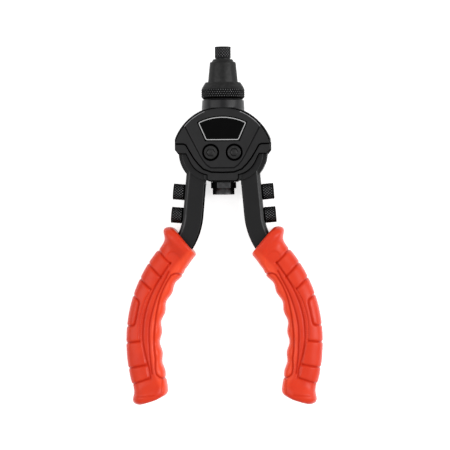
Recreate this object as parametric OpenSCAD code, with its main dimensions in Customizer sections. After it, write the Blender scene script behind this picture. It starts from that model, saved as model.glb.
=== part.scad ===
// Lever hand riveter, lying on its back: nose towards +Y, handles towards -Y, +Z up out of the front cover.
// Every module is drawn about the point midway between the two handle pivots, on the middle plane.

/* [Pivots and travel] */
// Distance between the two handle pivots
pivot_spacing = 18; // [17.5:0.5:20]
// Radius of the pivot bolt's shank
bolt_shank_r = 4; // [3.6:0.1:4.2]
// How far each handle opens from the pose that is drawn, in degrees
open_angle = 50; // [40:1:52]
// How far each handle still closes from that pose, in degrees
close_angle = 2.5; // [1:0.5:3]
// Distance across the tool from a pivot to its drive pin
pin_offset = 12.5; // [12:0.25:13]
// Radius of a drive pin
pin_r = 2.5; // [2:0.1:2.6]

/* [Layers through the head] */
// Thickness of the pull yoke
yoke_t = 9.6; // [9:0.2:10.4]
// Thickness of one fork cheek of a handle
arm_cheek_t = 6.4; // [5.6:0.2:7]
// Thickness of a thrust washer
washer_t = 0.4; // [0.3:0.1:0.8]
// Thickness of a frame cheek
plate_t = 1.7; // [1.4:0.1:2.2]
// Thickness of a cover at its raised centre
cover_t = 3.3; // [3:0.1:4]
// Thickness of a cover under a bolt head
cover_floor_t = 0.7; // [0.5:0.1:1]

/* [Head outline] */
// Radius of the crown
crown_r = 39.1; // [38.5:0.1:41]
// How far the crown's centre lies behind the pivots
crown_drop = 3.5; // [3:0.1:4]
// Half the width across the ears
ear_x = 36.6; // [36:0.2:38]
// Height of an ear's corner above the pivots
ear_low = 2.3; // [2:0.1:5]
// Radius of the cheek round each pivot
band_r = 17; // [16.8:0.1:18]
// Half the width of the tail tab
tab_half = 11.5; // [11.2:0.1:12.2]
// Half the width of the frame cheek under the tail tab, which covers the gap beside a hub
cheek_tab_half = 14.2; // [13:0.1:14.6]
// Distance from the pivots to the end of the tail tab
tab_low = 21.4; // [20:0.2:22]
// Radius of the neck at its front
neck_r = 16.1; // [15:0.1:16.4]
// Distance from the pivots to the neck's front shoulder
neck_front = 40.4; // [40:0.2:43]

/* [Nose] */
// Radius over the knurled ring
ring_r = 16.7; // [16.2:0.1:18]
// Length of the knurled ring
ring_len = 12.7; // [12:0.1:14]
// Radius of the cone sleeve at its base
sleeve_base_r = 11.6; // [11:0.1:12]
// Radius of the cone sleeve at its front edge
sleeve_tip_r = 10; // [9.4:0.1:10.6]
// Distance from the pivots to the sleeve's front face
sleeve_front = 72; // [70:0.5:74]
// Radius over a nosepiece's knurled head
nose_r = 6.15; // [5.8:0.05:6.6]
// Length of a nosepiece's head
nose_head_len = 9.3; // [8:0.1:11]
// Radius of a nosepiece's threaded stem
stem_r = 5; // [4.6:0.1:5.2]
// Length of a nosepiece's threaded stem
stem_len = 8; // [6.5:0.1:8.5]
// Length of the tail that opens the jaws
tail_len = 3.5; // [3:0.1:4]
// Radius of the bore of the nosepiece that is fitted
nose_bore_r = 1.6; // [1:0.05:2]

/* [Pulling gear] */
// Radius of the pull rod
rod_r = 3.4; // [3.2:0.1:3.6]
// Radius of the pull rod's bore, where spent stems pass
rod_bore_r = 2.1; // [1.8:0.1:2.3]
// Radius of the jaw case
case_r = 7.5; // [7.2:0.1:7.6]
// Length of the jaw case
case_len = 26; // [25:0.5:27]
// Half angle of the jaws' cone, in degrees
jaw_cone = 11; // [10:0.5:12]
// Length of a jaw
jaw_len = 10; // [9:0.5:11]
// Height of the yoke's bar
bar_h = 7; // [6:0.5:8]

/* [Rear plug] */
// Width across the flats of the plug's hexagon
plug_af = 17; // [16:0.5:18]
// Height of the plug's hexagon
plug_hex_h = 4.8; // [4:0.2:6]
// Radius of the plug's round end
plug_end_r = 8.4; // [7.5:0.1:8.4]
// Length of the plug's round end
plug_end_len = 4.8; // [4:0.2:7]
// Radius of the stem exit in the plug
exit_r = 2.6; // [2.2:0.1:3]

/* [Handles] */
// Radius of a hub's outer plate
hub_r = 25; // [24:0.2:25.4]
// Radius of a hub's raised cheek
hub_boss_r = 22; // [21:0.2:22.6]
// Radius of a hub's eye
eye_r = 8.5; // [8:0.1:8.7]
// Width of the handle bar
shank_w = 15; // [14.4:0.1:15.4]
// Thickness of the handle bar
shank_t = 16; // [15:0.5:18]
// Lean of the handle bar where it leaves the hub, in degrees
shank_tilt = 5; // [4.5:0.25:6]
// Distance from the pivots to the start of the outward bend
bend_y = 48; // [47:0.5:52]
// Radius of the outward bend
bend_r = 50; // [46:1:56]
// Angle at which the bend meets the grip's curve, in degrees
bend_end = 43; // [41:0.5:45]
// Radius of the grip's curve
grip_curve_r = 95.8; // [93:0.5:99]
// Place of the first spare nosepiece along the handle
spare_y1 = 30.9; // [29.5:0.1:31.5]
// Place of the second spare nosepiece along the handle
spare_y2 = 48.8; // [47:0.1:50]

/* [Grips] */
// Width of a grip in the plane of the tool
grip_w = 25.4; // [24:0.2:27]
// Thickness of a grip
grip_t = 27; // [25:0.5:30]
// Height of the finger waves
wave_h = 0.75; // [0.3:0.05:1.1]
// Length of one finger wave along the grip, in degrees of its curve
wave_pitch = 10.9; // [10:0.1:12]
// Angle of the guard's face on the grip's curve, in degrees
guard_angle = 50; // [49:0.5:51]
// Angle of the butt's face on the grip's curve, in degrees
butt_angle = -27.3; // [-29:0.1:-25]

/* [Hidden] */
$fn = 64;

// Clearances: a turning or sliding fit, a seated fit, and the space left round what swings
running_gap = 0.05;
seat_gap = 0.02;
thread_gap = 0.05;
face_gap = 0.05;
swing_gap = 0.8;
yoke_side_gap = 0.3;

// Layers, counted out from the middle plane
pivot_x = pivot_spacing / 2;
fork_in = yoke_t / 2 + yoke_side_gap;
hub_half = fork_in + arm_cheek_t;
plate_in = hub_half + washer_t + 2 * face_gap;
plate_out = plate_in + plate_t;
half_depth = plate_out + cover_t;
floor_z = plate_out + cover_floor_t;
through = 2 * half_depth + 10;

// Travel: the yoke moves in step with the handles, pin_rate times the pin's offset for each radian
pin_rate = 1.06;
half_swing = (open_angle + close_angle) / 2;
rest_phi = close_angle - half_swing;
rod_rate = pin_rate * pin_offset * PI / 180;
open_travel = rod_rate * open_angle;
close_travel = rod_rate * close_angle;
pin_x = pivot_x + pin_offset;
pin_y = rod_rate * rest_phi;
pin_slot_gap = 0.2;
pin_end_gap = 0.1;

// Frame
cavity_r = hub_r + swing_gap;
ear_chamfer = [3.1, 2.8];
ear_foot = ear_low - ear_chamfer[1];
shoulder_x = 27.7;
band_join = 27;
tab_corner = 2.4;
ear_wall_y = 8;
boss_top = 9.5;
case_bore_r = case_r + 1;
spigot_r = 13;
spigot_front = neck_front + 7;
sleeve_seat_r = 10;
sleeve_seat_len = 5.4;
neck_taper = 0.3;

// Covers, in heights above the frame cheek
cover_inset = 0.8;
crown_inset = 1.6;
cover_crown_r = crown_r - crown_inset;
cover_top_y = cover_crown_r - crown_drop;
cover_chamfer = 0.5;
band_h = 1.7;
flank_h = cover_t - 0.8;
groove_h = 0.8;
groove_w = 1.1;
// Half of the groove's line and of the raised centre's side, from the outside in
groove_line = [
    [37.5, 7.1], [29.8, 7.1], [27.6, 6.1], [24.4, 0.5], [21.5, -4.3], [18.2, -8.5], [14.4, -12.3], [8.7, -14.5]
];
plateau_line = [[29.2, 19.8], [17.6, -2.6], [15.2, -6.6], [12.5, -10], [9, -12.4]];
plateau_slope = 1.2;
recess_gap = 1.5;
label_h = 0.5;
label_top_y = 27.2;
label_arc_r = 40.7;
label_corners = [[19.5, 25], [12.5, 9.25]];
label_gap = 0.7;

// Pivot bolts and nuts
bolt_head_r = 5.1;
bolt_head_h = 2.4;
socket_af = 5;
socket_h = 1.6;
thread_r = 3;
nut_af = 10;
nut_h = 2.1;
bush_wall = 1.15;
washer_r = 8;

// Nose
ring_back = neck_front + 1;
ring_front = ring_back + ring_len;
ring_wall_h = 3.6;
ring_hole_gap = 0.2;
ring_bevel = 3.2;
flange_r = spigot_r - 0.2;
flange_back = spigot_front + face_gap;
flange_front = ring_front - ring_wall_h - face_gap;
collar_len = 2.8;
undercut_len = 0.5;
undercut_r = 5.6;
tail_r = 3;
nose_edge = 0.7;
tail_gap = 0.3;
thread_back = sleeve_front - stem_len;
nose_tip = sleeve_front + undercut_len + nose_head_len;

// Jaws, in the pose that is drawn
jaw_front = thread_back - tail_len - open_travel - tail_gap;
mouth_len = 1.5;
mouth_r = 3.4;
jaw_set_back = 1;
case_front = jaw_front + jaw_set_back + mouth_len;
case_back = case_front - case_len;
case_bore = 5.9;
cone_len = (case_bore - mouth_r) / tan(jaw_cone);
rod_head_r = 4.4;
rod_head_len = 5;
jaw_gap = 0.1;
jaw_split = 0.15;
jaw_bore = 0.9;
tooth_h = 0.3;
tooth_n = 10;
pusher_flange = 2;
pusher_r = mouth_r + (jaw_set_back + jaw_len) * tan(jaw_cone) - jaw_gap;
pusher_tube_r = 3.2;
pusher_travel = 1.2;
jaw_back = jaw_front - jaw_len;
pusher_front = jaw_back - face_gap;
spring_wire_r = 0.45;
spring_r = 4.4;
spring_turns = 3;
rod_front = case_back + rod_head_len;

// Yoke and rod
bar_low = bolt_shank_r + close_travel + 0.6;
leg_half = pin_r + 1.5;
collar_h = 2;
collar_r = 4.6;
yoke_nut_h = 3;
guide_len = 5;
plug_stem_r = 6.5;
plug_bore_r = rod_r + 0.8;
washer_h = 1.05;
plug_face = tab_low + washer_h + 2 * face_gap;
plug_turn = 4;
rod_tail = plug_face - 0.1;
plug_bore_end = rod_tail + close_travel + 1.2;

// Handle centreline: a straight, an outward bend and the grip's curve, each tangent to the next
shank_x0 = 21.2;
shank_y0 = 22;
shank_top = 14;
hub_edge = 4.7;
// The hub's upper corner stays on its own side of the tool when the handle is fully open
hub_top = acos(-(pivot_x - swing_gap) / hub_r) - open_angle - 1;
fork_end_gap = 2;
hub_plate_step = 0.4;
spare_sink = undercut_len - face_gap;
shank_bevel = [2.3, 1.4];
shank_edge = 0.8;
tang_w = 12;
tang_t = 10;
tang_end = -18;
// The tang starts inside the bend, so that the two are one bar
tang_start = bend_end + 1.5;
grip_gap = 0.1;
bend_start = [shank_x0 + (bend_y - shank_y0) * tan(shank_tilt), -bend_y];
bend_centre = bend_start + bend_r * [cos(shank_tilt), sin(shank_tilt)];
grip_start = bend_centre - bend_r * [cos(bend_end), sin(bend_end)];
grip_centre = grip_start - grip_curve_r * [cos(bend_end), sin(bend_end)];

// Grip sections by angle on the curve: outer and inner growth past the plain width, and growth in thickness
flare_t = half_depth - 0.1 - grip_t / 2;
wave_crest = 3.7;
outer_growth = [
    [butt_angle, 1.6], [butt_angle + 1, 4.8], [butt_angle + 2.4, 5.6], [butt_angle + 3.6, 4],
    [butt_angle + 5, 2.6], [butt_angle + 7, 1.6], [butt_angle + 12, 1], [butt_angle + 20, 0.4], [butt_angle + 27, 0],
    [guard_angle - 9, 0], [guard_angle - 6.6, 0.7], [guard_angle - 5, 2.8], [guard_angle - 3.4, 7.3],
    [guard_angle - 1.4, 7.1], [guard_angle, 4.6]
];
inner_growth = [
    [butt_angle, -7], [butt_angle + 1, -3.6], [butt_angle + 2.4, -2.4], [butt_angle + 5, -1.2],
    [butt_angle + 12, 0.5], [guard_angle - 10, 0.6], [guard_angle - 7, -0.1], [guard_angle - 3.4, -1],
    [guard_angle - 1.4, -1.7], [guard_angle, -4.2]
];
thick_growth = [
    [butt_angle, -0.6], [butt_angle + 1, 1], [butt_angle + 3.2, 0.8], [butt_angle + 7, 0],
    [guard_angle - 9, 0], [guard_angle - 5, 0.35], [guard_angle - 3.4, 1], [guard_angle - 1.4, 1],
    [guard_angle, 0.3]
];
section_step = 1.9;
section_n = 28;
section_power = 0.62;
grip_angles = concat(
    [butt_angle, butt_angle + 1, butt_angle + 2.4, butt_angle + 3.6],
    [for (b = [butt_angle + 5 : section_step : guard_angle - 8]) b],
    [guard_angle - 6.6, guard_angle - 5, guard_angle - 3.4, guard_angle - 1.4, guard_angle]
);

// The wave fades out towards the guard and the butt
function wave(b) = wave_h * cos(360 * (b - wave_crest) / wave_pitch)
    * max(0, min(1, (guard_angle - 6 - b) / 6)) * max(0, min(1, (b - butt_angle - 6) / 6));
function grip_out(b) = grip_curve_r + grip_w / 2 + lookup(b, outer_growth);
function grip_in(b) = grip_curve_r - grip_w / 2 - lookup(b, inner_growth) - wave(b);
function grip_half(b) = grip_t / 2 + flare_t * lookup(b, thick_growth);
function signed_power(v, p) = sign(v) * pow(abs(v), p);
function shank_at(y) = [shank_x0 + (-y - shank_y0) * tan(shank_tilt), y];

// The origin is under the middle of the whole tool, on the surface it lies on
tail_y = min([for (b = grip_angles) grip_centre[1] + grip_out(b) * sin(b)]);
origin_y = -(nose_tip + tail_y) / 2;

module place() {
    translate([0, origin_y, half_depth]) children();
}

// Turns a solid drawn along +Z to lie along the nose axis
module on_axis() {
    rotate([-90, 0, 0]) children();
}

module at_pivots() {
    for (side = [-1, 1]) translate([side * pivot_x, 0, 0]) children();
}

module both_sides() {
    children();
    mirror([1, 0, 0]) children();
}

module slab(half) {
    linear_extrude(2 * half, center = true) children();
}

// A round bar along the nose axis between two distances from the pivots
module bar(y1, y2, r) {
    on_axis() translate([0, 0, y1]) cylinder(h = y2 - y1, r = r);
}

// Two circles about the pivots and the space between them
module stadium(r) {
    at_pivots() circle(r);
    square([pivot_spacing, 2 * r], center = true);
}

module head_outline(inset = 0, tab = tab_half) {
    shoulder = [pivot_x + band_r * cos(band_join), -band_r * sin(band_join)];
    foot = [ear_x - ear_chamfer[0], ear_foot];
    intersection() {
        translate([0, -crown_drop]) circle(crown_r - inset, $fn = 128);
        both_sides() polygon([
            [0, crown_r], [ear_x - inset / 2, crown_r], [ear_x - inset / 2, ear_low], foot,
            [shoulder_x, ear_foot], shoulder, [0, shoulder[1]]
        ]);
    }
    at_pivots() circle(band_r);
    both_sides() polygon([
        [0, 0], [tab, 0], [tab, tab_corner / 2 - tab_low], [tab - tab_corner / 2, -tab_low],
        [0, -tab_low]
    ]);
}

// The room in which the hubs and the yoke move, open at the sides below the ears
module hub_room() {
    stadium(cavity_r);
    difference() {
        translate([-2 * ear_x, -3 * tab_low]) square([4 * ear_x, 3 * tab_low + ear_wall_y]);
        translate([-tab_half, -tab_low]) square([2 * tab_half, tab_low - boss_top]);
    }
}

module frame_head() {
    color("#2f2f31") place() difference() {
        union() {
            slab(plate_out) head_outline(tab = cheek_tab_half);
            intersection() {
                bar(cavity_r, cover_top_y + face_gap, neck_r + neck_taper);
                slab(plate_out) square(4 * crown_r, center = true);
            }
            on_axis() translate([0, 0, cover_top_y + face_gap])
                cylinder(h = neck_front - cover_top_y - face_gap, r1 = neck_r + neck_taper, r2 = neck_r);
            bar(neck_front - 1, ring_back - face_gap, neck_r - 1.1);
            bar(neck_front - 1, spigot_front, spigot_r);
        }
        slab(plate_in) hub_room();
        at_pivots() cylinder(h = through, r = bolt_shank_r + seat_gap, center = true);
        bar(cavity_r - 4, spigot_front + 1, case_bore_r);
        bar(spigot_front - sleeve_seat_len, spigot_front + 1, sleeve_seat_r);
        bar(-tab_low - 1, 0, rod_r + running_gap);
        bar(-tab_low - 1, -boss_top - guide_len, plug_stem_r + thread_gap);
    }
}

module groove_side() {
    both_sides() polygon(concat([[0, 2 * crown_r], [2 * crown_r, 2 * crown_r], [2 * crown_r, groove_line[0][1]]],
        groove_line, [[0, groove_line[7][1] - 0.3]]));
}

module plateau() {
    both_sides() polygon(concat([[0, 2 * crown_r], [plateau_line[0][0] * 1.4, 2 * crown_r]],
        plateau_line, [[0, plateau_line[4][1]]]));
}

module label_outline(gap = 0) {
    intersection() {
        translate([0, label_top_y - label_arc_r]) circle(label_arc_r + gap, $fn = 128);
        both_sides() polygon([
            [0, crown_r], [label_corners[0][0] + gap + 4, crown_r], [label_corners[0][0] + gap, label_corners[0][1]],
            [label_corners[1][0] + gap, label_corners[1][1] - gap], [0, label_corners[1][1] - gap]
        ]);
    }
}

// The moulded cover as it lies on the front cheek: a rim band, lower flanks and a raised centre with sloped sides
module cover_shell() {
    crown = cover_crown_r;
    difference() {
        translate([0, 0, plate_out]) intersection() {
            union() {
                linear_extrude(groove_h) head_outline(cover_inset);
                linear_extrude(band_h) difference() {
                    head_outline(cover_inset);
                    offset(delta = groove_w) groove_side();
                }
                linear_extrude(flank_h) intersection() {
                    head_outline(cover_inset);
                    groove_side();
                }
                linear_extrude(cover_t) intersection() {
                    head_outline(cover_inset + 1.4);
                    offset(delta = -plateau_slope) plateau();
                }
                linear_extrude((cover_t + flank_h) / 2) intersection() {
                    head_outline(cover_inset + 0.7);
                    plateau();
                }
            }
            translate([0, -crown_drop, 0]) union() {
                cylinder(h = cover_t - cover_chamfer, r = crown, $fn = 128);
                translate([0, 0, cover_t - cover_chamfer])
                    cylinder(h = cover_chamfer, r1 = crown, r2 = crown - cover_chamfer, $fn = 128);
            }
        }
        at_pivots() cylinder(h = through, r = bolt_shank_r + seat_gap);
        at_pivots() translate([0, 0, floor_z]) cylinder(h = through, r = bolt_head_r + recess_gap);
    }
}

module front_cover() {
    color("#2b2b2d") place() difference() {
        cover_shell();
        translate([0, 0, half_depth - label_h]) linear_extrude(through) label_outline(label_gap);
    }
}

module rear_cover() {
    color("#2b2b2d") place() mirror([0, 0, 1]) cover_shell();
}

module label_plate() {
    color("#151517") place() translate([0, 0, half_depth - label_h]) linear_extrude(label_h) label_outline();
}

module pivot_bolt() {
    difference() {
        union() {
            translate([0, 0, -floor_z]) cylinder(h = 2 * floor_z, r = bolt_shank_r);
            translate([0, 0, floor_z]) cylinder(h = bolt_head_h, r = bolt_head_r);
            translate([0, 0, -floor_z - nut_h]) cylinder(h = nut_h + 1, r = thread_r);
        }
        translate([0, 0, floor_z + bolt_head_h - socket_h])
            cylinder(h = through, r = socket_af / sqrt(3), $fn = 6);
    }
}

module pivot_bolts() {
    color("#3a3a3c") place() at_pivots() pivot_bolt();
}

module pivot_nuts() {
    color("#3a3a3c") place() at_pivots() translate([0, 0, -floor_z - nut_h]) difference() {
        cylinder(h = nut_h, r = nut_af / sqrt(3), $fn = 6);
        translate([0, 0, -1]) cylinder(h = nut_h + 2, r = thread_r + seat_gap);
    }
}

module thrust_washers() {
    color("#b8b8b4") place() at_pivots() for (side = [0, 1]) mirror([0, 0, side])
        translate([0, 0, hub_half + face_gap]) difference() {
            cylinder(h = washer_t, r = washer_r);
            translate([0, 0, -1]) cylinder(h = washer_t + 2, r = bolt_shank_r + running_gap);
        }
}

module knurled_ring() {
    hole = sleeve_base_r + ring_hole_gap;
    color("#333335") place() on_axis() rotate_extrude() polygon([
        [spigot_r + thread_gap, ring_back], [ring_r - 1, ring_back], [ring_r, ring_back + 1.2],
        [ring_r, ring_front - 5.4], [ring_r - 0.8, ring_front - 3.9], [ring_r - 1.8, ring_front - 2.4],
        [ring_r - ring_bevel + 0.4, ring_front - 0.7], [ring_r - ring_bevel, ring_front],
        [hole, ring_front], [hole, ring_front - ring_wall_h], [spigot_r + thread_gap, ring_front - ring_wall_h]
    ]);
}

module nose_sleeve() {
    bore = case_r + running_gap * 2;
    cone_front = sleeve_front - collar_len;
    color("#2f2f31") place() on_axis() rotate_extrude() polygon([
        [bore, spigot_front - sleeve_seat_len + 1], [sleeve_seat_r - seat_gap, spigot_front - sleeve_seat_len + 1],
        [sleeve_seat_r - seat_gap, flange_back], [flange_r, flange_back], [flange_r, flange_front],
        [sleeve_base_r, flange_front], [sleeve_base_r, ring_front + 0.7], [sleeve_tip_r, cone_front],
        [sleeve_tip_r - 0.3, cone_front + 0.6], [sleeve_tip_r - 1.4, cone_front + 0.7],
        [sleeve_tip_r - 1.6, cone_front + 1.1], [sleeve_tip_r - 2.7, sleeve_front],
        [stem_r + thread_gap, sleeve_front], [stem_r + thread_gap, thread_back], [bore, thread_back]
    ]);
}

// A nosepiece drawn along +Z, with the face that it screws up to at zero
module nosepiece_body(bore) {
    rotate_extrude() polygon([
        [bore, -stem_len - tail_len], [tail_r - 0.8, -stem_len - tail_len], [tail_r, -stem_len - tail_len + 1.4],
        [tail_r, -stem_len], [stem_r - 0.5, -stem_len], [stem_r, -stem_len + 0.5], [stem_r, 0],
        [undercut_r, 0], [undercut_r, undercut_len], [nose_r - 0.5, undercut_len],
        [nose_r, undercut_len + 0.5], [nose_r, undercut_len + nose_head_len - nose_edge],
        [nose_r - nose_edge, undercut_len + nose_head_len], [bore, undercut_len + nose_head_len]
    ]);
}

module nosepiece() {
    color("#3a3a3c") place() on_axis() translate([0, 0, sleeve_front]) nosepiece_body(nose_bore_r);
}

module rear_plug() {
    color("#3a3a3c") place() on_axis() mirror([0, 0, 1]) rotate([0, 0, plug_turn]) difference() {
        union() {
            translate([0, 0, boss_top + guide_len + 0.4])
                cylinder(h = plug_face - boss_top - guide_len, r = plug_stem_r);
            translate([0, 0, plug_face]) cylinder(h = plug_hex_h, r = plug_af / sqrt(3), $fn = 6);
            translate([0, 0, plug_face + plug_hex_h]) cylinder(h = plug_end_len, r = plug_end_r);
        }
        cylinder(h = plug_bore_end, r = plug_bore_r);
        cylinder(h = 4 * tab_low, r = exit_r);
    }
}

module plug_washer() {
    color("#101012") place() on_axis() translate([0, 0, -tab_low - face_gap - washer_h]) difference() {
        cylinder(h = washer_h, r = plug_end_r);
        translate([0, 0, -1]) cylinder(h = washer_h + 2, r = plug_stem_r + thread_gap);
    }
}

module pull_rod() {
    color("#9a9a98") place() difference() {
        union() {
            bar(-rod_tail, rod_front, rod_r);
            bar(bar_low + bar_h, bar_low + bar_h + collar_h, collar_r);
            bar(case_back, rod_front, rod_head_r);
        }
        bar(-rod_tail - 1, rod_front + 1, rod_bore_r);
    }
}

module yoke_outline() {
    intersection() {
        both_sides() {
            translate([0, bar_low]) square([pin_x + leg_half, bar_h]);
            translate([pin_x - leg_half, pin_y]) square([2 * leg_half, bar_low + bar_h - pin_y]);
            translate([pin_x, pin_y]) circle(leg_half);
        }
        translate([0, -open_travel]) stadium(cavity_r - 0.6);
    }
}

module pull_yoke() {
    color("#8c8c8a") place() difference() {
        slab(yoke_t / 2) yoke_outline();
        bar(bar_low - 1, bar_low + bar_h + 1, rod_r + seat_gap);
        both_sides() translate([pin_x, pin_y, 0]) cylinder(h = through, r = pin_r + seat_gap, center = true);
    }
}

module yoke_nut() {
    color("#8c8c8a") place() difference() {
        bar(bar_low - yoke_nut_h, bar_low - seat_gap, collar_r);
        bar(bar_low - yoke_nut_h - 1, bar_low + 1, rod_r + seat_gap);
        translate([0, bar_low - yoke_nut_h, 0]) cube([3 * collar_r, 2, 1.2], center = true);
    }
}

module drive_pins() {
    color("#a8a8a6") place() both_sides() translate([pin_x, pin_y, 0])
        cylinder(h = 2 * (hub_half - pin_end_gap), r = pin_r, center = true);
}

module jaw_case() {
    cone_end = case_front - mouth_len - cone_len;
    color("#8c8c8a") place() on_axis() rotate_extrude() polygon([
        [rod_head_r + seat_gap, case_back], [case_r - 0.8, case_back], [case_r, case_back + 0.8],
        [case_r, case_front - 1], [case_r - 1, case_front], [mouth_r, case_front],
        [mouth_r, case_front - mouth_len], [case_bore, cone_end], [case_bore, rod_front],
        [rod_head_r + seat_gap, rod_front]
    ]);
}

// One third of a split cone with a toothed bore, its middle towards +X
module jaw_body() {
    outer_front = mouth_r + jaw_set_back * tan(jaw_cone) - jaw_gap;
    outer_back = outer_front + jaw_len * tan(jaw_cone);
    pitch = jaw_len / tooth_n;
    teeth = [for (i = [0 : tooth_n - 1]) each [
        [jaw_bore + tooth_h, jaw_front - i * pitch], [jaw_bore, jaw_front - (i + 0.9) * pitch]
    ]];
    intersection() {
        on_axis() rotate_extrude() polygon(concat(teeth, [
            [jaw_bore, jaw_back], [outer_back, jaw_back], [outer_front, jaw_front]
        ]));
        on_axis() translate([jaw_split / sin(60), 0, jaw_back - 1]) linear_extrude(jaw_len + 2)
            polygon([[0, 0], [case_r, -case_r * tan(60)], [case_r, case_r * tan(60)]]);
    }
}

module jaw(i) {
    color("#b0b0ae") place() rotate([0, 120 * i, 0]) jaw_body();
}

module jaw_1() {
    jaw(0);
}

module jaw_2() {
    jaw(1);
}

module jaw_3() {
    jaw(2);
}

module jaw_pusher() {
    color("#a0a09e") place() difference() {
        union() {
            bar(pusher_front - pusher_flange, pusher_front, pusher_r);
            bar(rod_front + pusher_travel + 0.6, pusher_front - 1, pusher_tube_r);
        }
        bar(rod_front, pusher_front + 1, rod_bore_r);
    }
}

// A tube swept along the turns of a helix
module jaw_spring() {
    back = rod_front + face_gap + spring_wire_r;
    length = pusher_front - pusher_flange - face_gap - spring_wire_r - back;
    steps = 14 * spring_turns;
    sides = 6;
    rings = [for (i = [0 : steps]) for (j = [0 : sides - 1])
        let (a = 360 * spring_turns * i / steps, c = 360 * j / sides, r = spring_r + spring_wire_r * cos(c))
        [r * cos(a), r * sin(a), back + length * i / steps + spring_wire_r * sin(c)]];
    walls = [for (i = [0 : steps - 1]) for (j = [0 : sides - 1])
        let (k = (j + 1) % sides)
        [i * sides + j, i * sides + k, (i + 1) * sides + k, (i + 1) * sides + j]];
    ends = [[for (j = [sides - 1 : -1 : 0]) j], [for (j = [0 : sides - 1]) steps * sides + j]];
    color("#c0c0be") place() on_axis() polyhedron(points = rings, faces = concat(walls, ends));
}

// The hub's side of the pivot, drawn about the pivot itself
module hub_region() {
    polygon([
        [hub_edge, -2 * hub_r], [hub_edge, -eye_r / 2], [-2, 0], [-2, eye_r - 0.5],
        hub_r * [cos(hub_top), sin(hub_top)], 2 * hub_r * [cos(hub_top), sin(hub_top)], [2 * hub_r, hub_r],
        [2 * hub_r, -2 * hub_r]
    ]);
}

module shank_profile(grow = 0) {
    u = shank_w / 2 + grow;
    h = shank_t / 2 + grow;
    polygon([
        [-u, -h + shank_edge], [-u + shank_edge, -h], [u - shank_bevel[0], -h], [u, -h + shank_bevel[1]],
        [u, h - shank_bevel[1]], [u - shank_bevel[0], h], [-u + shank_edge, h], [-u, h - shank_edge]
    ]);
}

module at_grip_curve(angle) {
    translate([grip_centre[0], grip_centre[1], 0]) rotate([0, 0, angle]) children();
}

// The bend and the tang that the grip is moulded round
module arm_core(grow = 0) {
    translate([bend_centre[0], bend_centre[1], 0]) rotate([0, 0, 180 + shank_tilt])
        rotate_extrude(angle = bend_end - shank_tilt) translate([bend_r, 0]) mirror([1, 0]) shank_profile(grow);
    at_grip_curve(tang_end) rotate_extrude(angle = tang_start - tang_end) translate([grip_curve_r, 0])
        square([tang_w + 2 * grow, tang_t + 2 * grow], center = true);
}

// Puts a solid drawn along +Z square to the handle's outer edge, at a distance from the pivots
module on_edge(y) {
    at = shank_at(-y);
    translate([at[0], at[1], 0]) rotate([0, 0, shank_tilt]) rotate([0, 90, 0])
        translate([0, 0, shank_w / 2 - spare_sink]) children();
}

module arm_body() {
    top = shank_at(-shank_top);
    difference() {
        union() {
            translate([pivot_x, 0, 0]) {
                slab(shank_t / 2 - hub_plate_step) intersection() {
                    circle(hub_r, $fn = 128);
                    hub_region();
                }
                slab(hub_half) intersection() {
                    circle(hub_boss_r, $fn = 128);
                    hub_region();
                }
                slab(hub_half) circle(eye_r);
            }
            difference() {
                translate([top[0], top[1], 0]) rotate([90, 0, shank_tilt])
                    linear_extrude((bend_y - shank_top) / cos(shank_tilt)) shank_profile();
                translate([pivot_x + hub_edge - shank_w, -shank_y0, -shank_t]) cube([shank_w, shank_y0, 2 * shank_t]);
            }
            arm_core();
        }
        translate([pivot_x, 0, 0]) slab(fork_in) {
            circle(hub_r - fork_end_gap);
            polygon([[0, 0], [2 * hub_r, -2 * hub_r * tan(20)], [2 * hub_r, 2 * hub_r], [-2 * hub_r, 2 * hub_r],
                [-2 * hub_r, 0]]);
        }
        translate([pivot_x, 0, 0]) cylinder(h = through, r = bolt_shank_r + bush_wall + seat_gap, center = true);
        translate([pivot_x, 0, 0]) rotate([0, 0, rest_phi]) slab(half_depth) {
            slot_r = pin_r + pin_slot_gap;
            reach = pin_offset / cos(half_swing);
            translate([pin_offset, 0]) circle(slot_r);
            translate([reach, 0]) circle(slot_r);
            translate([pin_offset, -slot_r]) square([reach - pin_offset, 2 * slot_r]);
        }
        for (y = [spare_y1, spare_y2]) on_edge(y) {
            translate([0, 0, spare_sink]) cylinder(h = 5, r = nose_r + 2 * swing_gap);
            cylinder(h = 5, r = undercut_r + thread_gap);
            translate([0, 0, -stem_len - 0.2]) cylinder(h = stem_len + 5, r = stem_r + thread_gap);
            translate([0, 0, -stem_len - tail_len - 0.4]) cylinder(h = tail_len + 5, r = tail_r + 0.2);
        }
    }
}

module right_arm() {
    color("#2b2b2d") place() arm_body();
}

module left_arm() {
    color("#2b2b2d") place() mirror([1, 0, 0]) arm_body();
}

module bush_pair(side) {
    color("#b08d57") place() translate([side * pivot_x, 0, 0]) for (face = [0, 1]) mirror([0, 0, face])
        translate([0, 0, fork_in]) difference() {
            cylinder(h = arm_cheek_t, r = bolt_shank_r + bush_wall);
            translate([0, 0, -1]) cylinder(h = arm_cheek_t + 2, r = bolt_shank_r + running_gap);
        }
}

module right_bushes() {
    bush_pair(1);
}

module left_bushes() {
    bush_pair(-1);
}

// Points of the rounded section across the grip at one angle of its curve
function grip_ring(b) =
    let (mid = (grip_out(b) + grip_in(b)) / 2, u = (grip_out(b) - grip_in(b)) / 2, h = grip_half(b))
    [for (i = [0 : section_n - 1])
        let (a = 360 * i / section_n, r = mid + u * signed_power(cos(a), section_power))
        [grip_centre[0] + r * cos(b), grip_centre[1] + r * sin(b), h * signed_power(sin(a), section_power)]];

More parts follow.
